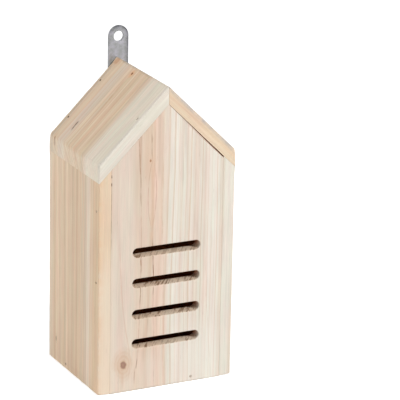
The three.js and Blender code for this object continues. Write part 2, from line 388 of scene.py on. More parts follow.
class Wiring:
    """Adds nodes to one tree and joins them. Its methods give back output sockets."""

    def __init__(self, tree: bpy.types.NodeTree) -> None:
        """Takes the tree to work on."""
        self.tree = tree

    def node(self, kind: str, inputs: dict[str | int, Value] | None = None, **settings) -> bpy.types.Node:
        """Adds one node.

        Args:
            kind: The node's type.
            inputs: What goes into its sockets, each a value or another node's output.
            settings: The node's own options.

        Returns:
            The node.
        """
        made = self.tree.nodes.new(kind)
        for name, setting in settings.items():
            setattr(made, name, setting)
        self.feed(made, inputs or {})
        return made

    def feed(self, node: bpy.types.Node, inputs: dict[str | int, Value]) -> None:
        """Gives a node what goes into it.

        Args:
            node: The node.
            inputs: A value or another node's output for each socket.
        """
        for name, value in inputs.items():
            if isinstance(value, bpy.types.NodeSocket):
                self.tree.links.new(value, node.inputs[name])
            else:
                node.inputs[name].default_value = value

    def math(self, operation: str, *values: Value, clamp: bool = False) -> Socket:
        """A sum of one to three numbers."""
        made = self.node("ShaderNodeMath", dict(enumerate(values)), operation=operation, use_clamp=clamp)
        return made.outputs[0]

    def times(self, first: Value, second: Value) -> Socket:
        """One number times another."""
        return self.math("MULTIPLY", first, second)

    def over(self, first: Value, second: Value) -> Socket:
        """One number over another."""
        return self.math("DIVIDE", first, second)

    def plus(self, first: Value, second: Value) -> Socket:
        """One number plus another."""
        return self.math("ADD", first, second)

    def less(self, first: Value, second: Value) -> Socket:
        """One number less another."""
        return self.math("SUBTRACT", first, second)

    def scaled(self, value: Value, scale: Value, start: Value) -> Socket:
        """A start plus a value times a scale."""
        return self.math("MULTIPLY_ADD", value, scale, start)

    def swung(self, noise: Socket, amount: Value, start: Value) -> Socket:
        """A start plus an amount of noise, up where the noise is over one half and down where under."""
        return self.scaled(self.less(noise, 0.5), amount, start)

    def vector(self, operation: str, *values: Value) -> Socket:
        """A sum of vectors, which gives a number where the operation does."""
        made = self.node("ShaderNodeVectorMath", dict(enumerate(values)), operation=operation)
        return made.outputs["Value" if operation in ("DOT_PRODUCT", "LENGTH", "DISTANCE") else "Vector"]

    def join(self, x: Value, y: Value, z: Value) -> Socket:
        """A vector of three numbers."""
        return self.node("ShaderNodeCombineXYZ", {0: x, 1: y, 2: z}).outputs[0]

    def split(self, vector: Socket) -> tuple[Socket, Socket, Socket]:
        """The three numbers of a vector."""
        return tuple(self.node("ShaderNodeSeparateXYZ", {0: vector}).outputs)

    def ramp(self, value: Value, low: Value, high: Value, start: Value = 0.0, end: Value = 1.0) -> Socket:
        """A soft step from start to end as the value goes from low to high."""
        inputs = {"Value": value, "From Min": low, "From Max": high, "To Min": start, "To Max": end}
        return self.node("ShaderNodeMapRange", inputs, interpolation_type="SMOOTHSTEP").outputs[0]

    def noise(self, place: Socket, stretch: Triple, detail: float = 2.0, rough: float = 0.5) -> Socket:
        """Soft noise about one half, with so many waves a millimetre along each axis."""
        scaled = self.vector("MULTIPLY", place, stretch)
        inputs = {"Vector": scaled, "Scale": 1.0, "Detail": detail, "Roughness": rough}
        return self.node("ShaderNodeTexNoise", inputs).outputs[0]

    def mix(self, share: Value, first: Value, second: Value, blend: str = "MIX") -> Socket:
        """Two colours blended by a share."""
        made = self.node("ShaderNodeMix", {0: share, 6: first, 7: second}, data_type="RGBA", blend_type=blend)
        return made.outputs[2]

    def tinted(self, colour: Value, tint: Value) -> Socket:
        """A colour seen through a tint."""
        return self.mix(1.0, colour, tint, "MULTIPLY")

    def alike(self, value: Socket) -> Socket:
        """A vector or a grey of one number three times."""
        return self.join(value, value, value)

    def noted(self, title: str) -> Socket:
        """The value that the mesh holds for each of its points under a title."""
        return self.node("ShaderNodeAttribute", attribute_name=title).outputs["Fac"]

    def bump(self, height: Socket, relief: float) -> Socket:
        """The normal of a surface raised by a height, in steps of a relief in millimetres."""
        inputs = {"Height": height, "Distance": relief * MM, "Strength": 1.0}
        return self.node("ShaderNodeBump", inputs).outputs[0]

    def tones(self, value: Socket, stops: list[tuple[float, Triple]]) -> Socket:
        """Turns a number into a colour by a run of tones.

        Args:
            value: The number.
            stops: Places from 0 to 1 with the tone of each.

        Returns:
            The colour.
        """
        made = self.node("ShaderNodeValToRGB", {0: value})
        elements = made.color_ramp.elements
        while len(elements) < len(stops):
            elements.new(1.0)
        for element, (place, tone) in zip(elements, stops):
            element.position = place
            element.color = linear(tone)
        return made.outputs[0]


class Effect(ABC):
    """A shader node group with named inputs and outputs, built when it is first placed."""

    title: ClassVar[str]
    takes: ClassVar[dict[str, float | tuple]]
    gives: ClassVar[dict[str, type]]
    kinds: ClassVar[dict[int, str]] = {1: "NodeSocketFloat", 3: "NodeSocketVector", 4: "NodeSocketColor"}

    @classmethod
    @abstractmethod
    def wire(cls, w: Wiring, given: Sockets) -> Sockets:
        """Joins the group's inputs to its outputs.

        Args:
            w: The group's wiring.
            given: Its inputs by name.

        Returns:
            What goes to its outputs, by name.
        """

    @classmethod
    def tree(cls) -> bpy.types.NodeTree:
        """Finds the group, or builds it."""
        if cls.title in bpy.data.node_groups:
            return bpy.data.node_groups[cls.title]
        tree = bpy.data.node_groups.new(cls.title, "ShaderNodeTree")
        for label, value in cls.takes.items():
            kind = cls.kinds[len(value) if isinstance(value, tuple) else 1]
            tree.interface.new_socket(label, in_out="INPUT", socket_type=kind).default_value = value
        for label, size in cls.gives.items():
            tree.interface.new_socket(label, in_out="OUTPUT", socket_type=cls.kinds[size])
        w = Wiring(tree)
        start = w.node("NodeGroupInput")
        made = cls.wire(w, {label: start.outputs[label] for label in cls.takes})
        w.node("NodeGroupOutput", made)
        return tree

    @classmethod
    def place(cls, w: Wiring, **values: Value) -> Sockets:
        """Puts the group into a material.

        Args:
            w: The material's wiring.
            values: What goes into the inputs, by name.

        Returns:
            The outputs by name.
        """
        made = w.node("ShaderNodeGroup", values, node_tree=cls.tree())
        return {label: made.outputs[label] for label in cls.gives}

    @classmethod
    def of(cls, w: Wiring, place: Socket, item: object) -> Sockets:
        """Puts the group in for an item, whose fields of the inputs' names give their values."""
        values = {label: getattr(item, label.lower()) for label in cls.takes if label != "Place"}
        return cls.place(w, Place=place, **values)


class BoardPlace(Effect):
    """A place in a board's own directions, in millimetres: across it, along its grain and into it."""

    title = "board_place"
    takes = {"Place": (0.0, 0.0, 0.0), "Across": (1.0, 0.0, 0.0), "Along": (0.0, 0.0, 1.0),
             "Into": (0.0, 1.0, 0.0)}
    gives = {"Place": 3}

    @classmethod
    def wire(cls, w: Wiring, given: Sockets) -> Sockets:
        """Each number is the place's reach in one direction."""
        place = w.vector("SCALE", given["Place"])
        place.node.inputs["Scale"].default_value = 1 / MM
        parts = [w.vector("DOT_PRODUCT", place, given[label]) for label in ("Across", "Along", "Into")]
        return {"Place": w.join(*parts)}


class KnotFlow(Effect):
    """A knot, and the grain drawn aside round it as water runs round a post."""

    title = "knot_flow"
    takes = {"Place": (0.0, 0.0, 0.0), "Across": 0.0, "Along": 0.0, "Radius": 2.0, "Stretch": 1.3,
             "Draw": 1.0, "Reach": 2.9}
    gives = {"Place": 3, "Core": 1, "Halo": 1, "Rings": 1}
    ragged_waves = (0.55, 0.4, 0.55)
    loose_waves = (0.15, 0.11, 0.15)

    @classmethod
    def wire(cls, w: Wiring, given: Sockets) -> Sockets:
        """A grain line at distance u from the knot's middle is one that lay at u (1 - r²/d²)."""
        x, y, z = w.split(given["Place"])
        u = w.less(x, given["Across"])
        v = w.over(w.less(y, given["Along"]), given["Stretch"])
        ragged = w.less(w.noise(given["Place"], cls.ragged_waves), 0.5)
        distance = w.math("SQRT", w.plus(w.times(u, u), w.times(v, v)))
        drawn = w.times(given["Radius"], given["Draw"])
        ratio = w.over(drawn, w.math("MAXIMUM", distance, drawn))
        moved = w.plus(given["Across"], w.times(u, w.less(1.0, w.times(ratio, ratio))))
        rough = w.scaled(ragged, 0.7, w.over(distance, given["Radius"]))
        core = w.ramp(rough, 0.75, 1.15, 1.0, 0.0)
        halo = w.swung(w.noise(given["Place"], cls.loose_waves), 3.0, rough)
        halo = w.ramp(halo, 0.9, given["Reach"], 1.0, 0.0)
        rings = w.scaled(w.math("SINE", w.scaled(rough, 6.4, 1.2)), 0.5, 0.5)
        return {"Place": w.join(moved, y, z), "Core": core, "Halo": halo, "Rings": rings}


class GrowthRings(Effect):
    """The tree's yearly rings: bands at even steps from its pith, wandering along the board."""

    title = "growth_rings"
    takes = {"Place": (0.0, 0.0, 0.0), "Pith": (0.0, 0.0, 0.0), "Spacing": 3.0, "Wander": 1.0, "Onset": 0.15,
             "Seed": 0.0}
    gives = {"Late": 1, "Depth": 1, "Year": 1}
    broad_waves = (0.02, 0.006, 0.02)
    close_waves = (0.11, 0.018, 0.11)
    good_years = (0.16, 1.0, 1.0)

    @classmethod
    def wire(cls, w: Wiring, given: Sockets) -> Sockets:
        """A ring darkens slowly through its year and ends at once; each year has its depth and tone."""
        shifted = w.vector("ADD", given["Place"], w.alike(given["Seed"]))
        broad = w.less(w.noise(shifted, cls.broad_waves), 0.5)
        close = w.less(w.noise(shifted, cls.close_waves), 0.5)
        sway = w.times(w.scaled(broad, 9.0, w.times(close, 2.0)), given["Wander"])
        x, _, z = w.split(w.vector("SUBTRACT", given["Place"], given["Pith"]))
        reach = w.plus(w.math("SQRT", w.plus(w.times(x, x), w.times(z, z))), sway)
        uneven = w.noise(w.join(w.plus(reach, given["Seed"]), 0.0, 0.0), cls.good_years, 1.0)
        years = w.over(w.scaled(uneven, w.times(given["Spacing"], 2.4), reach), given["Spacing"])
        part = w.math("FRACT", years)
        year = w.plus(w.math("FLOOR", years), given["Seed"])
        chance = w.node("ShaderNodeTexWhiteNoise", {"W": year}, noise_dimensions="1D").outputs["Color"]
        depth, tone, _ = w.split(chance)
        late = w.times(w.ramp(part, given["Onset"], 0.86), w.ramp(part, 0.9, 1.0, 1.0, 0.0))
        return {"Late": late, "Depth": depth, "Year": tone}


class Fibres(Effect):
    """What shows between the rings: streaks and hairs along the grain, resin canals, soft clouds."""

    title = "fibres"
    takes = {"Place": (0.0, 0.0, 0.0), "Seed": 0.0}
    gives = {"Streak": 1, "Hair": 1, "Canal": 1, "Cloud": 1, "Blush": 1}
    streak_waves = (0.75, 0.022, 0.75)
    hair_waves = (2.2, 0.05, 2.2)
    canal_waves = (1.9, 0.14, 1.9)
    cloud_waves = (0.09, 0.03, 0.09)
    blush_waves = (0.21, 0.035, 0.21)

    @classmethod
    def wire(cls, w: Wiring, given: Sockets) -> Sockets:
        """Each is noise drawn out along the grain; canals are where it peaks."""
        shifted = w.vector("ADD", given["Place"], w.alike(given["Seed"]))
        streak = w.noise(shifted, cls.streak_waves, 3.0, 0.6)
        hair = w.noise(shifted, cls.hair_waves, 3.0, 0.6)
        canal = w.ramp(w.noise(shifted, cls.canal_waves, 1.0), 0.70, 0.80)
        cloud = w.noise(shifted, cls.cloud_waves, 3.0)
        blush = w.ramp(w.noise(shifted, cls.blush_waves, 3.0), 0.3, 0.7)
        return {"Streak": streak, "Hair": hair, "Canal": canal, "Cloud": cloud, "Blush": blush}


def faded(w: Wiring, off: Socket, along: Socket, given: Sockets) -> Socket:
    """Lets a mark fade over its width and at its ends.

    Args:
        w: The group's wiring.
        off: The distance off the mark's middle line.
        along: The place along the grain.
        given: The group's inputs.

    Returns:
        The mark's strength.
    """
    mask = w.ramp(off, 0.0, given["Width"], 1.0, 0.0)
    begun = w.ramp(w.less(along, given["Start"]), 0.0, given["Fade"])
    ended = w.ramp(w.less(given["End"], along), 0.0, given["Fade"])
    return w.times(mask, w.times(begun, ended))


class ResinLine(Effect):
    """One dark line along the grain, gently bent, that fades at its two ends and breaks here and there."""

    title = "resin_line"
    takes = {"Place": (0.0, 0.0, 0.0), "Across": 0.0, "Middle": 0.0, "Lean": 0.0, "Bend": 0.0,
             "Start": 0.0, "End": 100.0, "Width": 0.5, "Fade": 12.0}
    gives = {"Mask": 1}

    @classmethod
    def wire(cls, w: Wiring, given: Sockets) -> Sockets:
        """Its middle is across + lean t + bend t² at distance t from its middle height."""
        x, y, _ = w.split(given["Place"])
        t = w.less(y, given["Middle"])
        line = w.scaled(w.times(t, t), given["Bend"], given["Across"])
        line = w.scaled(t, given["Lean"], line)
        sway = w.noise(w.join(given["Across"], y, 0.0), (1.0, 0.045, 1.0), 2.0)
        line = w.swung(sway, 1.6, line)
        off = w.math("ABSOLUTE", w.less(x, line))
        broken = w.ramp(w.noise(w.join(given["Across"], y, 4.0), (1.0, 0.13, 1.0), 2.0), 0.3, 0.6, 0.35, 1.0)
        return {"Mask": w.times(broken, faded(w, off, y, given))}


class SoftStripe(Effect):
    """A straight stripe along the grain, unbroken, that fades at its sides and at its two ends."""

    title = "soft_stripe"
    takes = {"Place": (0.0, 0.0, 0.0), "Across": 0.0, "Start": 0.0, "End": 100.0, "Width": 3.0, "Fade": 12.0}
    gives = {"Mask": 1}

    @classmethod
    def wire(cls, w: Wiring, given: Sockets) -> Sockets:
        """It is strongest at its place across the board."""
        x, y, _ = w.split(given["Place"])
        return {"Mask": faded(w, w.math("ABSOLUTE", w.less(x, given["Across"])), y, given)}


class EdgeShadeAndWear(Effect):
    """The change in tone at an edge: the paler tone of a sanded edge, and painted shade where the edge values
    mark shade, broken up by noise.
    """

    title = "edge_shade_and_wear"
    takes = {"Colour": (1.0, 1.0, 1.0, 1.0), "Worn": (1.0, 1.0, 1.0, 1.0), "Edge": 0.0,
             "Place": (0.0, 0.0, 0.0), "Amount": 0.5}
    gives = {"Colour": 4}

    @classmethod
    def wire(cls, w: Wiring, given: Sockets) -> Sockets:
        """The edge value, broken up by noise, blends the edge tone in."""
        patchy = w.ramp(w.noise(given["Place"], (0.16, 0.16, 0.16), 3.0), 0.32, 0.62, 0.35, 1.0)
        share = w.math("MULTIPLY", w.times(given["Edge"], patchy), given["Amount"], clamp=True)
        return {"Colour": w.mix(share, given["Colour"], given["Worn"])}


class Tone(Enum):
    """The tones of the pine, as they show in even light."""

    SAP = (239, 229, 213)
    PALE = (235, 227, 217)
    MILK = (231, 224, 213)
    STRAW = (228, 214, 201)
    HAZE = (228, 212, 197)
    BLUSH = (228, 209, 192)
    ASH = (225, 209, 195)
    FAWN = (223, 203, 186)
    PINK = (229, 205, 189)
    CREAM = (236, 220, 203)
    AMBER = (242, 219, 195)
    GLOW = (236, 214, 190)
    HONEY = (230, 207, 182)
    ORANGE = (230, 204, 175)
    TAN = (223, 199, 174)
    DUSK = (222, 203, 182)


@dataclass(frozen=True)
class Knot:
    """A knot: its place across and along the board, its radius and how long it is drawn out."""

    across: float
    along: float
    radius: float
    stretch: float = 1.3
    core: Triple = (176, 138, 112)
    core_share: float = 0.75
    halo: Triple = (214, 184, 152)
    halo_share: float = 0.45
    draw: float = 1.0
    reach: float = 2.9


@dataclass(frozen=True)
class GrainLine:
    """A dark line along the grain: where its middle is, how it leans and bends, and its two ends."""

    across: float
    middle: float
    start: float
    end: float
    lean: float = 0.0
    bend: float = 0.0
    width: float = 0.45
    fade: float = 12.0
    tone: Triple = (186, 142, 110)
    share: float = 0.6
    effect: ClassVar[type[Effect]] = ResinLine

    def darker(self, start: float, end: float, share: float, tone: Triple = (142, 100, 72)) -> "GrainLine":
        """A short stretch of the same line in a darker tone."""
        return replace(self, start=start, end=end, share=share, tone=tone, fade=(end - start) * 0.3)

    def darkened(self, *stretches: tuple) -> tuple["GrainLine", ...]:
        """The line with darker stretches over it, each given as darker takes it."""
        return self, *(self.darker(*stretch) for stretch in stretches)


@dataclass(frozen=True)
class Stripe:
    """A soft stripe of another tone along the grain, from its start to its end."""

    across: float
    start: float
    end: float
    width: float
    share: float
    tone: Triple
    fade: float = 12.0
    effect: ClassVar[type[Effect]] = SoftStripe


@dataclass(frozen=True)
class Pine:
    """Bare planed pine.

    Each band is a tone and the places across the board where it is full. The pith's place is across,
    along and into the board, and the rings round it are spaced evenly. They are faint in the sapwood,
    which ends at a place across.
    """

    title: str
    across: Triple
    along: Triple
    into: Triple
    bands: tuple[tuple, ...]
    pith: Triple
    spacing: float
    ring_share: float
    wander: float = 0.5
    seed: float = 0.0
    knots: tuple[Knot, ...] = ()
    lines: tuple[GrainLine | Stripe, ...] = ()
    onset: float = 0.15
    year_share: float = 0.05
    streak_share: float = 0.32
    sapwood: float = -99.0
    late_tint: Triple = (226, 196, 164)
    sawn_run: Pair = (0.45, 0.95)
    sawn_tint: Triple = (238, 230, 220)
    sawn_pale: float = 0.0
    torn_share: float = 0.4
    torn_tint: Triple = (206, 188, 172)
    # The warm brown tone of painted shade at the slots' right ends and in the gap under the roof
    painted_shade_tint: Triple = (120, 92, 64)
    edge_tint: Triple = (246, 236, 222)
    edge_share: float = 0.3
    # The tone of painted shade over the chamber's inner faces
    chamber_shade_tint: Triple = (190, 122, 70)
    canal_tone: Triple = (150, 112, 84)
    canal_share: float = 0.16
    hair_share: float = 0.24
    cloud_share: float = 0.16
    hair_sway: float = 0.9
    sway: float = 5.0
    sway_waves: Triple = (0.04, 0.011, 1.0)
    cool_blush: Triple = (252, 255, 251)
    warm_blush: Triple = (255, 250, 248)
    saw_lean: float = -0.68
    saw_waves: Triple = (0.75, 0.5, 0.14)
    patch_waves: Triple = (0.075, 0.05, 0.02)
    roughness: float = 0.66
    rough_swing: float = 0.16
    shine: float = 0.3
    relief: float = 0.05

    def material(self) -> bpy.types.Material:
        """Builds the wood's shader."""
        material, w, shader = new_material(self.title)
        w.feed(shader, PineShading(w.tree, self).inputs())
        return material


class PineShading(Wiring):
    """The shader of a board of pine, whose colour is changed by one method after the other."""

    def __init__(self, tree: bpy.types.NodeTree, pine: Pine) -> None:
        """Finds the place on the board, where its knots draw the grain aside, and what grew there.

        Args:
            tree: The material's nodes.
            pine: The finish.
        """
        super().__init__(tree)
        self.pine = pine
        at = self.node("ShaderNodeTexCoord").outputs["Object"]
        self.place = BoardPlace.of(self, at, pine)["Place"]
        self.knots = [(knot, KnotFlow.of(self, self.place, knot)) for knot in pine.knots]
        for _, seen in self.knots:
            x, _, _ = self.split(seen["Place"])
            _, y, z = self.split(self.place)
            self.place = self.join(x, y, z)
        self.rings = GrowthRings.of(self, self.place, pine)
        self.fibres = Fibres.of(self, self.place, pine)
        sawn, self.edge = self.noted("sawn"), self.noted("edge")
        self.sawn = self.ramp(sawn, *pine.sawn_run)

    def inputs(self) -> dict[str, Value]:
        """Goes through all that colours the board, and gives what the surface shader takes."""
        for step in (self.band, self.ring, self.line, self.knot, self.saw_across, self.shade_and_wear):
            step()
        pine = self.pine
        rough = self.scaled(self.fibres["Streak"], pine.rough_swing, pine.roughness - pine.rough_swing / 2)
        return {"Base Color": self.colour, "Roughness": rough, "Normal": self.normal(),
                "Specular IOR Level": pine.shine}

    def band(self) -> None:
        """Lays the board's broad tones side by side and clouds them a little."""
        pine, fibres = self.pine, self.fibres
        across, along, _ = self.split(self.place)
        low, high = pine.bands[0][1], pine.bands[-1][-1]
        sway = self.noise(self.join(across, along, pine.seed), pine.sway_waves)
        across = self.swung(sway, pine.sway * pine.wander, across)
        across = self.swung(fibres["Hair"], pine.hair_sway, across)
        spot = self.over(self.less(across, low), high - low)
        stops = [((side - low) / (high - low), tone.value) for tone, *sides in pine.bands for side in sides]
        colour = self.tones(spot, stops)
        streak = self.swung(fibres["Streak"], pine.streak_share, 1.0)
        hair = self.swung(fibres["Hair"], pine.hair_share, streak)
        cloud = self.swung(fibres["Cloud"], pine.cloud_share, hair)
        blush = self.mix(fibres["Blush"], linear(pine.cool_blush), linear(pine.warm_blush))
        self.colour = self.tinted(self.tinted(colour, blush), self.alike(cloud))

    def ring(self) -> None:
        """Gives each year its own tone and its dark late wood, faint in the sapwood."""
        pine, rings = self.pine, self.rings
        year = self.swung(rings["Year"], pine.year_share, 1.0)
        self.colour = self.tinted(self.colour, self.alike(year))
        late = self.times(rings["Late"], self.scaled(rings["Depth"], 0.75, 0.25))
        heart = self.ramp(self.split(self.place)[0], pine.sapwood - 1, pine.sapwood + 1, 0.25, 1.0)
        share = self.times(late, self.times(heart, pine.ring_share))
        self.colour = self.mix(share, self.colour, self.tinted(self.colour, linear(pine.late_tint)))

    def line(self) -> None:
        """Draws the board's grain lines and stripes, and its resin canals."""
        for line in self.pine.lines:
            share = self.times(line.effect.of(self, self.place, line)["Mask"], line.share)
            self.colour = self.mix(share, self.colour, linear(line.tone))
        canal = self.times(self.fibres["Canal"], self.pine.canal_share)
        self.colour = self.mix(canal, self.colour, linear(self.pine.canal_tone))

    def knot(self) -> None:
        """Colours the knots and the halos round them."""
        for knot, seen in self.knots:
            halo = self.times(seen["Halo"], self.scaled(seen["Rings"], 0.4, 0.6))
            self.colour = self.mix(self.times(halo, knot.halo_share), self.colour, linear(knot.halo))
            paler = self.mix(0.2, linear(knot.core), linear(knot.halo))
            core = self.mix(seen["Rings"], linear(knot.core), paler)
            self.colour = self.mix(self.times(seen["Core"], knot.core_share), self.colour, core)

    def saw_across(self) -> None:
        """Pales the wood that is sawn across its grain, with torn fibres in slanting marks."""
        pine = self.pine
        ends = self.mix(pine.sawn_pale, self.colour, linear(Tone.SAP.value))
        ends = self.tinted(ends, linear(pine.sawn_tint))
        across, along, into = self.split(self.place)
        leaning = self.join(self.scaled(into, pine.saw_lean, across), along, into)
        self.grit = self.noise(leaning, pine.saw_waves, 3.0, 0.55)
        patch = self.ramp(self.noise(self.place, pine.patch_waves, 1.0), 0.4, 0.56, 0.45, 1.0)
        torn = self.tinted(ends, linear(pine.torn_tint))
        cut = self.times(self.ramp(self.grit, 0.49, 0.6), self.times(patch, pine.torn_share))
        self.colour = self.mix(self.sawn, self.colour, self.mix(cut, ends, torn))

    def shade_and_wear(self) -> None:
        """Paints shade into the slots' right ends, the gap under the roof and the chamber, and greys or pales
        the edges, where the greying is partly painted shade.
        """
        pine, colour = self.pine, self.colour
        # Painted shade in warm brown at the slots' right ends and in the gap under the roof
        colour = self.mix(self.noted("painted_shade"), colour, self.tinted(colour, linear(pine.painted_shade_tint)))
        colour = EdgeShadeAndWear.place(self, Colour=colour, Worn=linear(pine.edge_tint), Edge=self.edge,
                                   Place=self.place, Amount=pine.edge_share)["Colour"]
        # Painted shade over the chamber's inner faces
        self.colour = self.mix(self.noted("inside"), colour, self.tinted(colour, linear(pine.chamber_shade_tint)))

    def normal(self) -> Socket:
        """The late wood and the fibres raised, and the sawn wood roughened."""
        height = self.scaled(self.rings["Late"], 0.35, self.times(self.fibres["Streak"], 0.9))
        height = self.scaled(self.fibres["Hair"], 0.6, height)
        height = self.scaled(self.fibres["Canal"], -0.4, height)
        height = self.scaled(self.times(self.grit, self.sawn), 2.2, height)
        return self.bump(height, self.pine.relief)


@dataclass(frozen=True)
class Steel:
    """A metal finish: its tone, its cloudy second tone, and the tone of painted shade and dark reflection on
    its rims and recesses.
    """

    title: str
    tone: Triple
    cloud: Triple
    rim_shade_tone: Triple
    roughness: float
    edge_share: float = 0.8
    cloud_pitch: float = 0.35
    metallic: float = 1.0
    rust: float = 0.0
    rust_pitch: float = 0.9
    rust_tone: Triple = (112, 84, 62)
    scratch_waves: Triple = (7.0, 7.0, 0.25)
    relief: float = 0.015

    def material(self) -> bpy.types.Material:
        """Builds the metal's shader: clouded zinc or wire, painted shade and dark reflection on rims and
        recesses, fine scratches.
        """
        material, w, shader = new_material(self.title)
        at = w.node("ShaderNodeTexCoord").outputs["Object"]
        place = BoardPlace.place(w, Place=at)["Place"]
        edge = w.noted("edge")
        cloud = w.ramp(w.noise(place, (self.cloud_pitch,) * 3, 4.0, 0.65), 0.36, 0.66)
        crystal = w.node("ShaderNodeTexVoronoi", {"Vector": place, "Scale": 0.8}, feature="SMOOTH_F1")
        cloud = w.scaled(crystal.outputs["Distance"], 0.35, w.times(cloud, 0.75))
        colour = w.mix(cloud, linear(self.tone), linear(self.cloud))
        rusty = w.ramp(w.noise(place, (self.rust_pitch,) * 3, 4.0), 0.55, 0.7)
        colour = w.mix(w.times(rusty, self.rust), colour, linear(self.rust_tone))
        # Painted shade and dark reflection where the edge values mark rims and recesses
        colour = EdgeShadeAndWear.place(w, Colour=colour, Worn=linear(self.rim_shade_tone), Edge=edge,
                                   Place=place, Amount=self.edge_share)["Colour"]
        scratch = w.noise(place, self.scratch_waves, 3.0, 0.6)
        rough = w.scaled(scratch, 0.1, w.scaled(cloud, 0.14, self.roughness))
        bump = w.bump(w.scaled(scratch, 0.5, cloud), self.relief)
        w.feed(shader, {"Base Color": colour, "Roughness": rough, "Metallic": self.metallic, "Normal": bump})
        return material


def new_material(title: str) -> tuple[bpy.types.Material, Wiring, bpy.types.Node]:
    """Starts a material.

    Args:
        title: Its name.

    Returns:
        The material, its wiring and its surface shader.
    """
    material = bpy.data.materials.new(title)
    material.use_nodes = True
    material.node_tree.nodes.clear()
    w = Wiring(material.node_tree)
    shader = w.node("ShaderNodeBsdfPrincipled")
    w.node("ShaderNodeOutputMaterial", {"Surface": shader.outputs[0]})
    return material, w, shader


# Fasteners

# The radii of the grid's rings round a head, and the depth of its hole at some radii
HOLE_RINGS = (0.45, 0.8, 0.87, 0.93, 1.0, 1.15, 1.4, 1.8, 2.25)
HOLE_DEPTHS = ((0.0, 0.87, 0.93, 1.0, 1.15, 1.4), (0.9, 0.9, 0.16, 0.07, 0.02, 0.0))
# How far out the rings are quite round, how far they reach, and how deep they take hold
HOLE_FULL, HOLE_REACH, HOLE_GRIP = 1.4, 2.25, 1.0
# How far below its highest point a head's top still counts as its top
HEAD_SKIN = 0.02


def hole_lines(middle: float) -> Array:
    """Grid lines round a fastener, given its place along one side of the board."""
    rings = np.array(HOLE_RINGS)
    return middle + np.concatenate([-rings[::-1], [0.0], rings])


@dataclass(frozen=True)
class Fastener:
    """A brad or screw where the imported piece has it: the middle of its head, and three directions.

    The head points outward. Across and along are the directions of the grid lines round it.
    """

    node: str
    outward: Array
    across: Array
    sunk: float

    @property
    def head(self) -> Array:
        """The middle of the head's top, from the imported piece's outermost points."""
        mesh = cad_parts[self.node].data
        points = np.zeros(len(mesh.vertices) * 3, np.float32)
        mesh.vertices.foreach_get("co", points)
        points = points.reshape(-1, 3).astype(float) / MM
        height = points @ self.outward
        rim = points[height > height.max() - HEAD_SKIN]
        return (rim.min(axis=0) + rim.max(axis=0)) / 2

    @property
    def mouth(self) -> Array:
        """The point of the wood's surface over the middle of the head."""
        return self.head + self.outward * self.sunk

    @property
    def along(self) -> Array:
        """The direction square to the two others."""
        return np.cross(self.outward, self.across)

    def sink_into(self, points: Array) -> Array:
        """Shapes the wood's surface round the head.

        A point on the square ring m = max(|u|, |v|) round the axis is drawn to the circle of radius
        m, less and less past the full radius. It then goes in by the depth of the hole there.

        Args:
            points: The board's points.

        Returns:
            The points with the hole in them.
        """
        local = points - self.mouth
        u, v, out = local @ self.across, local @ self.along, local @ self.outward
        square = np.maximum(np.abs(u), np.abs(v))
        near = (np.abs(out) < HOLE_GRIP) & (square < HOLE_REACH)
        round_ = np.maximum(np.hypot(u, v), 1e-6)
        pull = np.interp(square, (HOLE_FULL, HOLE_REACH), (1.0, 0.0))
        scale = 1 + pull * (square / round_ - 1)
        depth = np.interp(round_ * scale, *HOLE_DEPTHS)
        local = np.column_stack([(scale - 1) * u, (scale - 1) * v, -depth])
        turn = np.stack([self.across, self.along, self.outward])
        return points + np.where(near[:, None], local @ turn, 0.0)

    def make(self, shape: Surface, steel: bpy.types.Material, slot: str, suffix: str) -> None:
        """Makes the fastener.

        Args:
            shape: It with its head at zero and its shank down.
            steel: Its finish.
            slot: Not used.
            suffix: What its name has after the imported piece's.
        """
        surface = Surface.welded([shape])
        turn = np.stack([self.across, self.along, self.outward])
        surface.points = surface.points @ turn + self.head
        make_piece(f"{self.node}_{suffix}", surface, steel, self.node)


def holed(points: Array, fasteners: tuple[Fastener, ...]) -> Array:
    """Sinks the holes of some fasteners into a board's points."""
    for fastener in fasteners:
        points = fastener.sink_into(points)
    return points


def turned(profile: Array, edge: Array, steps: int) -> Surface:
    """Turns a profile on its axis.

    Args:
        profile: Rows of radius and height.
        edge: The edge value of each row.
        steps: How many sides the round has.

    Returns:
        The surface: (radius cos t, radius sin t, height) at each height and turn t.
    """
    t = np.linspace(0, 2 * math.pi, steps + 1)
    radius, height = profile[:, :1], profile[:, 1:]
    height = np.broadcast_to(height, (len(profile), len(t)))
    grid = np.stack([radius * np.cos(t), radius * np.sin(t), height], axis=-1)
    grid[:, -1] = grid[:, 0]
    return Surface.patch(grid, edge[:, None])


@dataclass(frozen=True)
class BradShape:
    """A wire brad: its length, shank and head, and the radius of the head's rim."""

    length: float = 16.0
    shank: float = 0.6
    head: float = 0.85
    head_height: float = 0.5
    point: float = 1.6
    rim: float = 0.16
    dish: float = 0.06
    steps: int = 28

    def surface(self) -> Surface:
        """Turns the brad's profile, from the middle of its dished head down to its point."""
        sine, drop = quarter()
        corner = np.column_stack([self.head - self.rim + self.rim * sine, -self.rim * drop])
        dish = np.array([[0.0, -self.dish], [0.3, -self.dish * 0.8], [0.55, -self.dish * 0.2]])
        under = np.array([[self.head, -self.head_height], [self.shank, -self.head_height - 0.12],
                          [self.shank, self.point - self.length], [0.0, -self.length]])
        profile = np.vstack([dish, corner, under])
        # The head's rounded rim takes the steel's rim shade tone: painted shade
        edge = np.concatenate([np.zeros(len(dish)), np.ones(len(corner)), np.zeros(len(under))])
        return turned(profile, edge, self.steps)


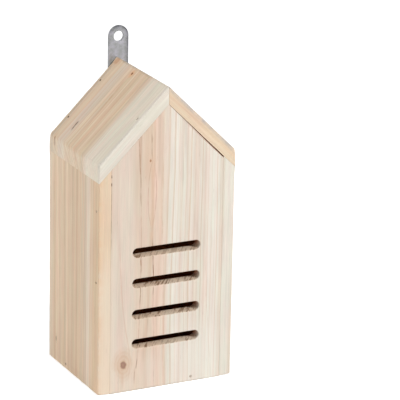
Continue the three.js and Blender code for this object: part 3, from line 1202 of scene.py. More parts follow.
@dataclass(frozen=True)
class ScrewShape:
    """A countersunk screw with a cross recess."""

    head: float = 2.8
    shank: float = 1.45
    length: float = 9.5
    point: float = 2.5
    rim: float = 0.2
    cross_length: float = 3.2
    cross_width: float = 0.75
    cross_depth: float = 1.0
    cross_rise: float = 0.45
    soft: float = 0.14
    bevel: Pair = (0.12, 0.08)
    rings: int = 40
    steps: int = 96

    def recess(self, u: Array, v: Array) -> Array:
        """Depth of one arm of the recess: a slot that gets shallower towards its two ends."""
        across = np.clip((self.cross_width / 2 - np.abs(v)) / self.soft + 0.5, 0, 1)
        along = np.clip((self.cross_length / 2 - np.abs(u)) / self.soft + 0.5, 0, 1)
        return self.cross_depth * across * along * (1 - self.cross_rise * np.abs(u) / (self.cross_length / 2))

    def surface(self) -> Surface:
        """Turns the screw's profile, and presses the cross into its head."""
        top = pairs(np.linspace(0, self.head - self.bevel[0], self.rings), 0.0)
        cone = self.head - self.shank
        below = np.array([[self.head, -self.bevel[1]], [self.head, -self.rim], [self.shank, -self.rim - cone],
                          [self.shank, self.point - self.length], [0.0, -self.length]])
        # The bevelled rim takes the steel's rim shade tone: painted shade
        edge = np.concatenate([np.zeros(len(top)), [0.8, 0.8, 0, 0, 0]])
        shape = turned(np.vstack([top, below]), edge, self.steps)
        u, v = shape.points[:, 0], shape.points[:, 1]
        on_top = shape.points[:, 2] > -0.001
        depth = np.where(on_top, np.maximum(self.recess(u, v), self.recess(v, u)), 0)
        shape.points[:, 2] -= depth
        # The recess darkens by its depth with the same tone: painted shade in the recess
        shape.edge = np.maximum(shape.edge, np.clip(depth / self.cross_depth, 0, 1))
        return shape


class Labelled(Enum):
    """A choice whose name is a word in the pieces' names."""

    @property
    def label(self) -> str:
        """The word."""
        return self.name.lower()


class Side(Labelled):
    """The two sides of the house, as the sign of X."""

    LEFT = -1
    RIGHT = 1


class Panel(Labelled):
    """The two gabled panels, as the sign of Y."""

    FRONT = -1
    BACK = 1


class Level(Labelled):
    """The one level board."""

    FLOOR = 0


@dataclass
class Brads:
    """The fourteen brads that hold the boards, sorted by the board that each goes into first."""

    sunk: float = 0.35
    shape: BradShape = BradShape()
    finish: Steel = Steel("darkened_brad_steel", (126, 112, 96), (96, 82, 68), (84, 70, 58), 0.45, rust=0.35)
    bright: Steel = Steel("bright_brad_steel", (198, 188, 176), (184, 172, 158), (178, 156, 136), 0.5,
                          metallic=0.1)
    bright_nodes: tuple[str, ...] = ("brad_front_floor", "brad_left_wall_upper", "brad_left_roof_front")

    def driven(self, board: str, places: tuple[str, ...], outward: Triple,
               across: Triple = (0, 1, 0)) -> tuple[Fastener, ...]:
        """The brads of one board, by the words of their names, with their heads facing outward."""
        return tuple(Fastener(f"brad_{board}_{place}", np.array(outward, float), np.array(across, float),
                              self.sunk) for place in places)

    def in_wall(self, side: Side) -> tuple[Fastener, ...]:
        """The brads through a wall."""
        return self.driven(f"{side.label}_wall", ("upper", "lower", "floor"), (side.value, 0, 0))

    def in_roof(self, side: Side) -> tuple[Fastener, ...]:
        """The brads through a roof board."""
        outward = (side.value * math.sin(ROOF_PITCH), 0, math.cos(ROOF_PITCH))
        return self.driven(f"{side.label}_roof", ("back_upper", "back_lower", "front"), outward)

    def in_panel(self, panel: Panel) -> tuple[Fastener, ...]:
        """The brad through a gabled panel."""
        return self.driven(panel.label, ("floor",), (0, panel.value, 0), across=(1, 0, 0))

    def build(self) -> None:
        """Makes every brad."""
        dark, bright = self.finish.material(), self.bright.material()
        groups = [group(side) for side in Side for group in (self.in_wall, self.in_roof)]
        groups += [self.in_panel(panel) for panel in Panel]
        for brad in (brad for group in groups for brad in group):
            steel = bright if brad.node in self.bright_nodes else dark
            brad.make(self.shape.surface(), steel, "brad_steel", "wire")


# Boards

@dataclass
class Boards(ABC):
    """A kind of board, each drawn as a block with rounded edges that is then bent into its place.

    A board sways a little between its edges. Where it is seated against another its edges are tight.
    """

    house: House
    brads: Brads
    pitch: float = 3.0
    sway: float = 0.05
    calm: float = 12.0
    seat_run: Pair = (0.5, 4.0)
    piece: ClassVar[str]
    slot: ClassVar[str]
    node: ClassVar[str]

    @abstractmethod
    def finishes(self) -> dict[Labelled, Pine]:
        """The pine of each board."""

    @abstractmethod
    def surface(self, place: Labelled) -> Surface:
        """Draws one board."""

    def inner(self, distance: Array) -> Array:
        """How free to sway the wood is: 0 on an edge and 1 well inside, by distances from the edge."""
        return rise(distance, 0, self.calm)

    def build(self) -> None:
        """Makes the boards."""
        for place, finish in self.finishes().items():
            surface = self.surface(place)
            board = make_piece(f"{place.label}_{self.piece}", surface, finish.material(),
                               f"{place.label}_{self.node}")
            for title, values in self.marks(place, surface, finish, board.data).items():
                mark(board.data, title, values)

    def marks(self, place: Labelled, surface: Surface, finish: Pine,
              mesh: bpy.types.Mesh) -> dict[str, Array]:
        """Finds where a board is sawn across its grain and where it lines the chamber.

        Args:
            place: Which board.
            surface: Its shape.
            finish: Its pine, for the direction of the grain.
            mesh: Its mesh, for the directions that it faces.

        Returns:
            The values of its points by the titles that its shader reads.
        """
        normals = np.zeros(len(mesh.vertices) * 3, np.float32)
        mesh.vertex_normals.foreach_get("vector", normals)
        sawn = np.abs(normals.reshape(-1, 3) @ np.array(finish.along, np.float32))
        # inside marks the chamber's inner faces, which the shader paints in shade
        return {"sawn": sawn, "inside": self.house.lines_chamber(surface.points)}


@dataclass
class Walls(Boards):
    """The two upright side boards, their tops bevelled to the roof."""

    edge_round: float = 0.95
    seat_round: float = 0.1
    top_gap: float = 0.05
    uneven: float = 0.22
    outer_shares: Pair = (0.125, 0.625)
    tan_strip: Pair = (0.8, 4.2)
    tan_rise: Pair = (0.0, 70.0)
    tan_shares: Pair = (0.3, 1.0)
    piece = "wall_board"
    slot = "wall_pine"
    node = "wall"

    def finishes(self) -> dict[Side, Pine]:
        """The pine of each wall: striped tan on the left, paler on the right."""
        left = Pine(
            title="striped_wall_pine", across=(0, 1, 0), along=(0, 0, 1), into=(1, 0, 0),
            bands=((Tone.HONEY, -41), (Tone.ORANGE, -39.5, -33), (Tone.HONEY, -31, -28),
                   (Tone.CREAM, -25, -22), (Tone.DUSK, -20, -18), (Tone.HONEY, -16), (Tone.DUSK, -14),
                   (Tone.HONEY, -12, -8), (Tone.TAN, -6, -4), (Tone.HONEY, -2), (Tone.TAN, 0, 2),
                   (Tone.HONEY, 4, 8), (Tone.GLOW, 10, 12.5), (Tone.TAN, 14.5), (Tone.ORANGE, 16),
                   (Tone.GLOW, 18), (Tone.HONEY, 21), (Tone.GLOW, 24), (Tone.AMBER, 26, 28.5),
                   (Tone.ORANGE, 31), (Tone.GLOW, 34), (Tone.CREAM, 41)),
            pith=(110, 0, -60), spacing=2.6, ring_share=0.5, wander=0.4, seed=3.0, onset=0.4, sapwood=-39.5,
            edge_tint=(230, 194, 158), edge_share=0.9,
            knots=(Knot(28.8, 17.2, 0.6, 3.0, core=(150, 112, 84), core_share=0.9, halo=(206, 190, 158)),),
            lines=(Stripe(-41.5, -40, 112, width=2.5, fade=40, share=0.6, tone=(236, 223, 205)),
                   GrainLine(-20.2, 80, 0, 165, width=0.8, share=0.3, tone=(206, 184, 156)),
                   GrainLine(-10.6, 80, 70, 165, width=0.7, share=0.35, tone=(204, 170, 136)),
                   GrainLine(-5.4, 80, 92, 165, width=1.3, share=0.3, tone=(208, 172, 138)),
                   GrainLine(1.6, 80, 0, 165, width=0.8, share=0.4, tone=(202, 170, 140)),
                   GrainLine(14.4, 80, 76, 165, lean=0.01, width=0.8, share=0.5, tone=(198, 168, 136)),
                   GrainLine(13.2, 80, 0, 84, width=0.9, share=0.3, tone=(204, 174, 142)),
                   GrainLine(22.0, 80, 20, 150, width=0.8, share=0.3, tone=(212, 176, 146)),
                   GrainLine(32.8, 123, 114, 132, width=0.6, fade=4, share=0.5, tone=(190, 150, 112)),
                   GrainLine(-35.2, 56, 48, 64, width=0.6, fade=4, share=0.6, tone=(196, 150, 110)),
                   GrainLine(-35.6, 100, 70, 130, width=0.7, share=0.3, tone=(206, 168, 130))),
        )
        right = Pine(
            title="pale_wall_pine", across=(0, 1, 0), along=(0, 0, 1), into=(-1, 0, 0),
            bands=((Tone.MILK, -41), (Tone.PALE, -38, -20), (Tone.CREAM, -5), (Tone.ORANGE, 10),
                   (Tone.CREAM, 24), (Tone.ORANGE, 41)),
            pith=(-150, 0, 30), spacing=3.7, ring_share=0.42, wander=0.7, seed=11.0,
            knots=(Knot(8.0, 118.0, 1.9, 1.4), Knot(-22.0, 52.0, 0.9, 1.5)),
        )
        return {Side.LEFT: left, Side.RIGHT: right}

    def surface(self, side: Side) -> Surface:
        """Draws one wall.

        The block's first side is the depth of the house, its second the height and its third the
        thickness. The height is then stretched so that the top follows the roof's underside.

        Args:
            side: Which wall.

        Returns:
            Its surface.
        """
        house, nails = self.house, self.brads.in_wall(side)
        foot, outer_top = house.wall_foot, house.roof_under(house.half_width) - self.top_gap
        mouths = [nail.mouth for nail in nails]
        deep = tuple(hole_lines(mouth[1]) for mouth in mouths[::2])
        high = tuple(hole_lines(mouth[2]) for mouth in mouths)
        widest = (self.edge_round * (1 + self.uneven),) * 2
        lines = (
            block_lines(-house.half_depth, house.half_depth, widest, self.pitch, deep),
            block_lines(foot, outer_top, widest, self.pitch, high),
            block_lines(0.0, house.thickness, widest, self.pitch),
        )

        def radius(place: Array) -> Array:
            """Least at the top, which is seated under the roof, and on the inner face."""
            seat = rise(outer_top - place[..., 1], *self.seat_run)
            outer = 1 - rise(place[..., 2] / house.thickness, *self.outer_shares)
            uneven = 1 + self.uneven * ripple(place[..., 1] + 3 * place[..., 0], side.value)
            return self.seat_round + (self.edge_round * uneven - self.seat_round) * seat * outer

        wall = Surface.welded(rounded_block(lines, radius))
        deep_at, high_at, thick_at = wall.points.T
        x = side.value * (house.half_width - thick_at)
        top = house.roof_under(x) - self.top_gap
        z = foot + (high_at - foot) * (top - foot) / (outer_top - foot)
        inside = self.inner(house.half_depth - np.abs(deep_at))
        x = x + side.value * self.sway * inside * ripple(deep_at + 0.15 * z, side.value + 2)
        strip = np.interp(thick_at, self.tan_strip, (0.8, 0.0)) * (deep_at < 1 - house.half_depth)
        strip = strip * np.interp(z, self.tan_rise, self.tan_shares)
        wall.edge = np.maximum(wall.edge, strip * (side is Side.LEFT))
        wall.points = holed(np.column_stack([x, deep_at, z]), nails)
        return wall


@dataclass
class Roof(Boards):
    """The two roof boards, mitred at the ridge and cut plumb at the eaves."""

    front_round: Pair = (0.9, 1.9)
    back_round: float = 1.8
    eave_round: float = 1.35
    seat_round: float = 0.12
    mitre_round: float = 0.06
    ridge_round: float = 1.5
    mitre_gap: float = 0.05
    uneven: float = 0.16
    upper_share: float = 0.6
    edge_run: float = 5.0
    mitre_start: float = 0.3
    eave_start: float = 6.0
    ridge_shares: tuple[float, ...] = (0.25, 0.4, 0.55, 0.7, 0.85, 1.0, 1.3)
    # How the roof's edges are greyed: painted shade along the ridge towards the back and on the left rake's
    # back end, and a grey front edge on the right board
    grey_rear: Triple = (0.35, 0.8, 1.0)
    grey_ridge: Pair = (0.2, 2.0)
    grey_rakes: tuple[Pair, Pair] = ((0.1, 1.0), (1.0, 0.6))
    grey_strip: Pair = (0.9, 2.8)
    clear_eave: Pair = (4.0, 2.0)
    piece = "roof_plank"
    slot = "roof_pine"
    node = "roof_board"

    def along(self, side: Side) -> Triple:
        """The direction down the slope."""
        return (side.value * math.cos(ROOF_PITCH), 0.0, -math.sin(ROOF_PITCH))

    def reach(self, side: Side, run: float) -> float:
        """How far along the grain's direction the roof's top lies at a distance from the ridge."""
        point = (side.value * run, 0.0, float(self.house.roof_top(run)))
        return float(np.dot(point, self.along(side)))

    def finishes(self) -> dict[Side, Pine]:
        """The pine of each roof board: sapwood and striped heartwood left, orange-cream right."""
        cos, sin = math.cos(ROOF_PITCH), math.sin(ROOF_PITCH)
        down = partial(self.reach, Side.LEFT)

        def line(across: float, middle: float, start: float, end: float, **look) -> GrainLine:
            """A grain line whose middle and ends are given by their distances from the ridge."""
            return GrainLine(across, down(middle), down(start), down(end), **look)

        left = Pine(
            title="sapwood_roof_pine", across=(0, 1, 0), along=self.along(Side.LEFT), into=(sin, 0, -cos),
            bands=((Tone.MILK, -41, -39.5), (Tone.SAP, -37, -20.5), (Tone.CREAM, -17.5, -15.5),
                   (Tone.HONEY, -13.5), (Tone.DUSK, -12), (Tone.ORANGE, -10), (Tone.GLOW, -8, -4),
                   (Tone.ORANGE, -2), (Tone.GLOW, 0, 3, 6), (Tone.ORANGE, 8), (Tone.GLOW, 10, 14, 16),
                   (Tone.CREAM, 18), (Tone.BLUSH, 22, 26), (Tone.GLOW, 28), (Tone.HONEY, 31, 34),
                   (Tone.DUSK, 36.5, 41)),
            pith=(150, 0, 0), spacing=3.0, ring_share=0.42, wander=0.35, seed=7.0, onset=0.3, sapwood=-17.0,
            sawn_tint=(254, 253, 251), sawn_pale=0.45, torn_share=0.1,
            # The edge tint is painted shade on the ridge and the back rake
            edge_tint=(152, 142, 126), edge_share=0.9,
            knots=(Knot(8.7, down(3.8), 0.85, 1.2, core=(118, 66, 36), core_share=1.0,
                        halo=(234, 176, 126), halo_share=0.9, reach=5.0),
                   Knot(32.2, down(49.3) + 2.8, 0.75, 3.4, core=(150, 104, 72), core_share=0.85,
                        halo=(216, 180, 142)),
                   Knot(36.5, down(1.5), 2.4, 1.6, core=(200, 150, 112), core_share=0.6,
                        halo=(222, 180, 142), halo_share=0.5)),
            lines=(line(21.1, 40, 36.5, 43.5, lean=-0.02, width=1.2, fade=3.0, share=1.0, tone=(112, 76, 50)),
                   line(10.0, 16, 3, 30, lean=-0.06, width=1.5, share=0.5, tone=(208, 158, 118)),
                   line(7.6, 36, 22, 51, lean=-0.06, width=1.0, share=0.35, tone=(200, 160, 126)),
                   line(-1.0, 26, 1, 50, lean=0.02, width=0.9, share=0.3, tone=(206, 162, 126)),
                   line(-9.0, 26, 1, 50, lean=0.04, width=0.9, share=0.4, tone=(204, 160, 124)),
                   line(37.2, 26, -6, 58, width=1.8, fade=8.0, share=0.5, tone=(186, 170, 148)),
                   line(-41.2, 6, -8, 34, width=2.0, fade=20.0, share=0.5, tone=(222, 217, 200))),
        )
        right = Pine(
            title="orange_roof_pine", across=(0, 1, 0), along=self.along(Side.RIGHT), into=(-sin, 0, -cos),
            bands=((Tone.HONEY, -41), (Tone.CREAM, -30), (Tone.ORANGE, -12), (Tone.HONEY, 2),
                   (Tone.CREAM, 14), (Tone.ORANGE, 28), (Tone.PALE, 41)),
            pith=(-60, 0, 120), spacing=3.4, ring_share=0.3, wander=0.6, seed=19.0, onset=0.4,
            # The edge tint is painted shade on the ridge, and greys the front edge
            edge_tint=(186, 177, 170), edge_share=1.0,
            sawn_tint=(254, 253, 251), sawn_pale=0.3, torn_share=0.1,
            knots=(Knot(-6.0, self.reach(Side.RIGHT, 31), 1.6, 1.4),),
        )
        return {Side.LEFT: left, Side.RIGHT: right}

    def surface(self, side: Side) -> Surface:
        """Draws one roof board.

        The block's first side is the depth of the house, its second runs down the slope from the
        ridge and its third is the thickness. A thickness is then set plumb, which slants the block
        so that its lower end is cut plumb and its upper end is the mitre.

        Args:
            side: Which board.

        Returns:
            Its surface.
        """
        house, nails = self.house, self.brads.in_roof(side)
        cos, sin = math.cos(ROOF_PITCH), math.sin(ROOF_PITCH)
        top_end, eave_end = self.mitre_gap / cos, house.half_width / cos
        mouths = [nail.mouth for nail in nails]
        deep = tuple(hole_lines(mouth[1]) for mouth in mouths[::2])
        down = tuple(hole_lines(abs(mouth[0]) / cos) for mouth in mouths)
        down += (top_end + self.ridge_round * np.array(self.ridge_shares),)
        front = self.front_round[side is Side.RIGHT]
        largest = (1 + self.uneven) * np.array([front, self.back_round, self.mitre_round, self.eave_round])
        thick = (largest.max(), self.seat_round * 1.5)
        lines = (
            block_lines(-house.half_depth, house.half_depth, tuple(largest[:2]), self.pitch, deep),
            block_lines(top_end, eave_end, (largest[2], largest.max()), self.pitch, down),
            block_lines(0.0, house.thickness, thick, self.pitch),
        )

        def radius(place: Array) -> Array:
            """Greater towards the back, and least at the mitre and on the seated underside."""
            above = 1 - rise(place[..., 2], 0, house.thickness * self.upper_share)
            lower = rise(place[..., 1], eave_end - self.eave_start, self.edge_run)
            upper = rise(place[..., 1], top_end + self.mitre_start, self.edge_run)
            rear = rise(place[..., 0], 0, house.half_depth / 1.2)
            uneven = 1 + self.uneven * ripple(place[..., 1] + 2 * place[..., 0], side.value + 5)
            full = front + (self.back_round - front) * rear
            full = (full + (self.eave_round - full) * lower) * uneven
            size = self.seat_round + (full - self.seat_round) * above
            return self.mitre_round + (size - self.mitre_round) * upper

        board = Surface.welded(rounded_block(lines, radius))
        deep_at, down_at, thick_at = board.points.T
        x = side.value * down_at * cos
        z = house.ridge - down_at * sin - thick_at / cos
        arc = np.sqrt(np.maximum(self.ridge_round**2 - x**2, 0))
        arc = house.ridge - self.ridge_round / cos + arc
        z = np.where(np.abs(x) < self.ridge_round * sin, np.minimum(z, arc), z)
        inside = self.inner(house.half_depth - np.abs(deep_at))
        inside = inside * self.inner(np.minimum(down_at - top_end, eave_end - down_at))
        z = z + self.sway * inside * ripple(deep_at + 0.2 * down_at, side.value + 8)
        board.edge = self.greyed_edges(board.edge, side, deep_at, down_at, thick_at)
        board.points = holed(np.column_stack([x, deep_at, z]), nails)
        return board

    def greyed_edges(self, edge: Array, side: Side, deep_at: Array, down_at: Array, thick_at: Array) -> Array:
        """Greys the roof's edges: painted shade on the ridge towards the back and on the left rake's back
        end, and a grey front edge on the right board.

        Args:
            edge: How far each point is on an edge.
            side: Which board.
            deep_at: The points' places along the ridge.
            down_at: Their places down the slope.
            thick_at: Their depths below the upper side.

        Returns:
            The new edge values.
        """
        half = self.house.half_depth
        rear = np.interp(deep_at, (-half, 0.0, half), self.grey_rear)
        ridge = np.interp(down_at, self.grey_ridge, (1.0, 0.0)) * (thick_at < self.ridge_round) * rear
        rake = edge * np.interp(deep_at, (1 - half, half - 1), self.grey_rakes[side is Side.RIGHT])
        strip = np.interp(thick_at, self.grey_strip, (1.0, 0.0)) * (deep_at < 1 - half) * (side is Side.RIGHT)
        upper = thick_at < self.house.thickness / 2
        return np.maximum(np.maximum(rake * upper, strip) * self.before_eave(down_at), ridge)

    def before_eave(self, down_at: Array) -> Array:
        """1 on the slope and 0 at its cut lower end, by places down the slope."""
        end = self.house.half_width / math.cos(ROOF_PITCH)
        return np.interp(down_at, end - np.array(self.clear_eave), (1.0, 0.0))


@dataclass(frozen=True)
class Slots:
    """The round-ended slots in the front panel."""

    count: int = 4
    length: float = 50.0
    height: float = 6.4
    spacing: float = 21.6
    top: float = 98.3
    rim: float = 0.55
    end_steps: int = 8
    tear: float = 0.07
    drops: tuple[float, ...] = (0.0, 0.0, 0.6, 0.0)
    lip_drop: float = 0.35
    lip_depth: float = 3.5
    lip_reach: float = 6.0
    beside: tuple[float, ...] = (SLIT_HALF, 0.2, 0.6, 1.4, 2.8, 4.8, 7.4)
    # Where painted shade falls in the slots' right ends: across the end, by depth and by height
    shade_end: Pair = (-1.2, 1.6)
    shade_depths: tuple = ((0.8, 2.5, 4.0, 7.0), (0.0, 0.3, 0.5, 1.0))
    shade_heights: tuple = ((-0.9, -0.3), (0.2, 1.0))
    high_shade_depths: tuple = ((0.4, 1.4, 3.0), (0.0, 0.5, 1.0))
    high_shade_heights: tuple = ((-0.2, 0.4), (0.0, 1.0))

    @property
    def heights(self) -> list[float]:
        """The height of each slot's middle."""
        return [self.top - i * self.spacing for i in range(self.count)]

    @property
    def straight(self) -> float:
        """Half the length of a slot's straight part."""
        return (self.length - self.height) / 2

    @property
    def mouth(self) -> float:
        """Half the height of a slot where its rim meets the panel's face."""
        return self.height / 2 + self.rim

    def side_lines(self) -> Array:
        """Upright grid lines through both round ends, at equal turns of their arcs."""
        turn = np.linspace(0, math.pi / 2, self.end_steps + 1)
        right = self.straight + self.mouth * np.sin(turn)
        right = np.append(right, right[-1] + GUARD)
        return np.concatenate([-right[::-1], right])

    def row_lines(self) -> Array:
        """Level grid lines: two at each slot's middle that will part, and close ones beside them."""
        rows = [height + sign * np.array(self.beside) for height in self.heights for sign in (-1, 1)]
        return np.concatenate(rows)

    def half_height(self, x: Array) -> Array:
        """Half the height of the mouth at x: even between the ends, and a circle's beyond them."""
        past = np.clip(np.abs(x) - self.straight, 0, self.mouth)
        return np.sqrt(np.maximum(self.mouth**2 - past**2, 0))

    def opened(self, points: Array) -> Array:
        """Parts the two middle rows of each slot, and draws the rows beside them along.

        A row at distance d from the parting moves away by the half height of the mouth times
        1 - d / reach, where the reach is half the spacing. Beside a slot the two rows close up.

        Args:
            points: The panel's points, x, y and z.

        Returns:
            The points with the slots' mouths open.
        """
        x, _, z = points.T
        half = self.half_height(x)
        reach = self.spacing / 2
        moved = z.copy()
        for height in self.heights:
            away = np.abs(z - height)
            near = away < reach
            beyond = np.where(away < 2 * SLIT_HALF, 0.0, away)
            parted = beyond + half * (1 - beyond / reach)
            moved = np.where(near, height + np.sign(z - height) * parted, moved)
        return np.column_stack([points[:, 0], points[:, 1], moved])

    def settled(self, points: Array, front: float) -> Array:
        """Lowers a slot that was cut a little low, and wears the lower lips down.

        A lip's point sinks by the lip's drop times how near it is to the lip, to the panel's face
        and to the slot's straight part, each from 0 to 1.

        Args:
            points: The panel's points.
            front: The y of the panel's face.

        Returns:
            The points, moved.
        """
        x, y, z = points.T
        shift = np.zeros_like(z)
        near_face = np.interp(y - front, (0.0, self.lip_depth), (1.0, 0.0))
        near_slot = np.interp(np.abs(x), (self.straight, self.straight + self.mouth), (1.0, 0.0))
        for height, drop in zip(self.heights, self.drops):
            away = z - height
            carried = np.interp(np.abs(away), (self.mouth + 0.5, self.spacing / 2), (1.0, 0.0))
            lip = np.interp(-away, (0.0, self.height / 2, self.mouth, self.mouth + self.lip_reach),
                            (0.0, 1.0, 1.0, 0.0))
            shift -= drop * carried + self.lip_drop * lip * near_face * near_slot
        return np.column_stack([x, y, z + shift])

    def painted_shade(self, points: Array, front: float) -> Array:
        """Tells how much painted shade the cut wood gets: most deep inside the slots' right ends, and high up
        there, where little light reaches.

        Args:
            points: The panel's points.
            front: The y of the panel's face.

        Returns:
            Values from 0 to 1.
        """
        x, y, z = points.T
        share = np.zeros_like(x)
        deep = np.interp(y - front, *self.shade_depths)
        high_deep = np.interp(y - front, *self.high_shade_depths)
        end = np.interp(x, self.straight + np.array(self.shade_end), (0.0, 1.0))
        for height, drop in zip(self.heights, self.drops):
            up = (z - height + drop) / self.height * 2
            near = np.abs(up) < 1 + 2 * self.rim / self.height
            high = high_deep * np.interp(up, *self.high_shade_heights)
            low = deep * np.interp(up, *self.shade_heights)
            share = np.where(near, end * np.maximum(high, low), share)
        return share

    def tunnel(self, height: float, columns: Array, front: float, back: float) -> Surface:
        """Draws the inside of one slot, with a rounded rim at both faces.

        Args:
            height: The height of the slot's middle.
            columns: The panel's upright grid lines.
            front: The y of the panel's face.
            back: The y of its inner face.

        Returns:
            The surface between the two mouths.
        """
        level = columns[np.abs(columns) < self.straight - 1e-6]
        turn = np.linspace(0, math.pi, 2 * self.end_steps + 1)
        right = pairs(np.full_like(turn, self.straight), height)
        round_out = pairs(np.sin(turn), np.cos(turn))
        above = pairs(level, height)
        upward = pairs(np.zeros_like(level), 1.0)
        middles = np.vstack([above, right, above[::-1], right * (-1, 1)])
        outwards = np.vstack([upward, round_out, -upward[::-1], -round_out])
        sine, drop = quarter()
        wall = self.height / 2
        flared, rim_depths = wall + self.rim * (1 - sine), self.rim * drop
        inner = np.linspace(front + 2 * self.rim, back - 2 * self.rim, 3)
        offsets = np.concatenate([flared, np.full_like(inner, wall), flared[::-1]])
        depths = np.concatenate([front + rim_depths, inner, back - rim_depths[::-1]])
        turned_away = np.sin(np.linspace(0, math.pi, ARC_STEPS + 1))
        edge = np.concatenate([turned_away, np.zeros_like(inner), turned_away])
        ring = swept_ring(middles, outwards, offsets, depths, edge)
        torn = ripple(ring.points[:, 0] * 9 + ring.points[:, 1] * 31, height)
        mid = np.isclose(ring.points[:, 1][:, None], inner[None], atol=1e-6).any(axis=1)
        ring.points[:, 2] += np.where(mid, self.tear * torn, 0)
        return ring


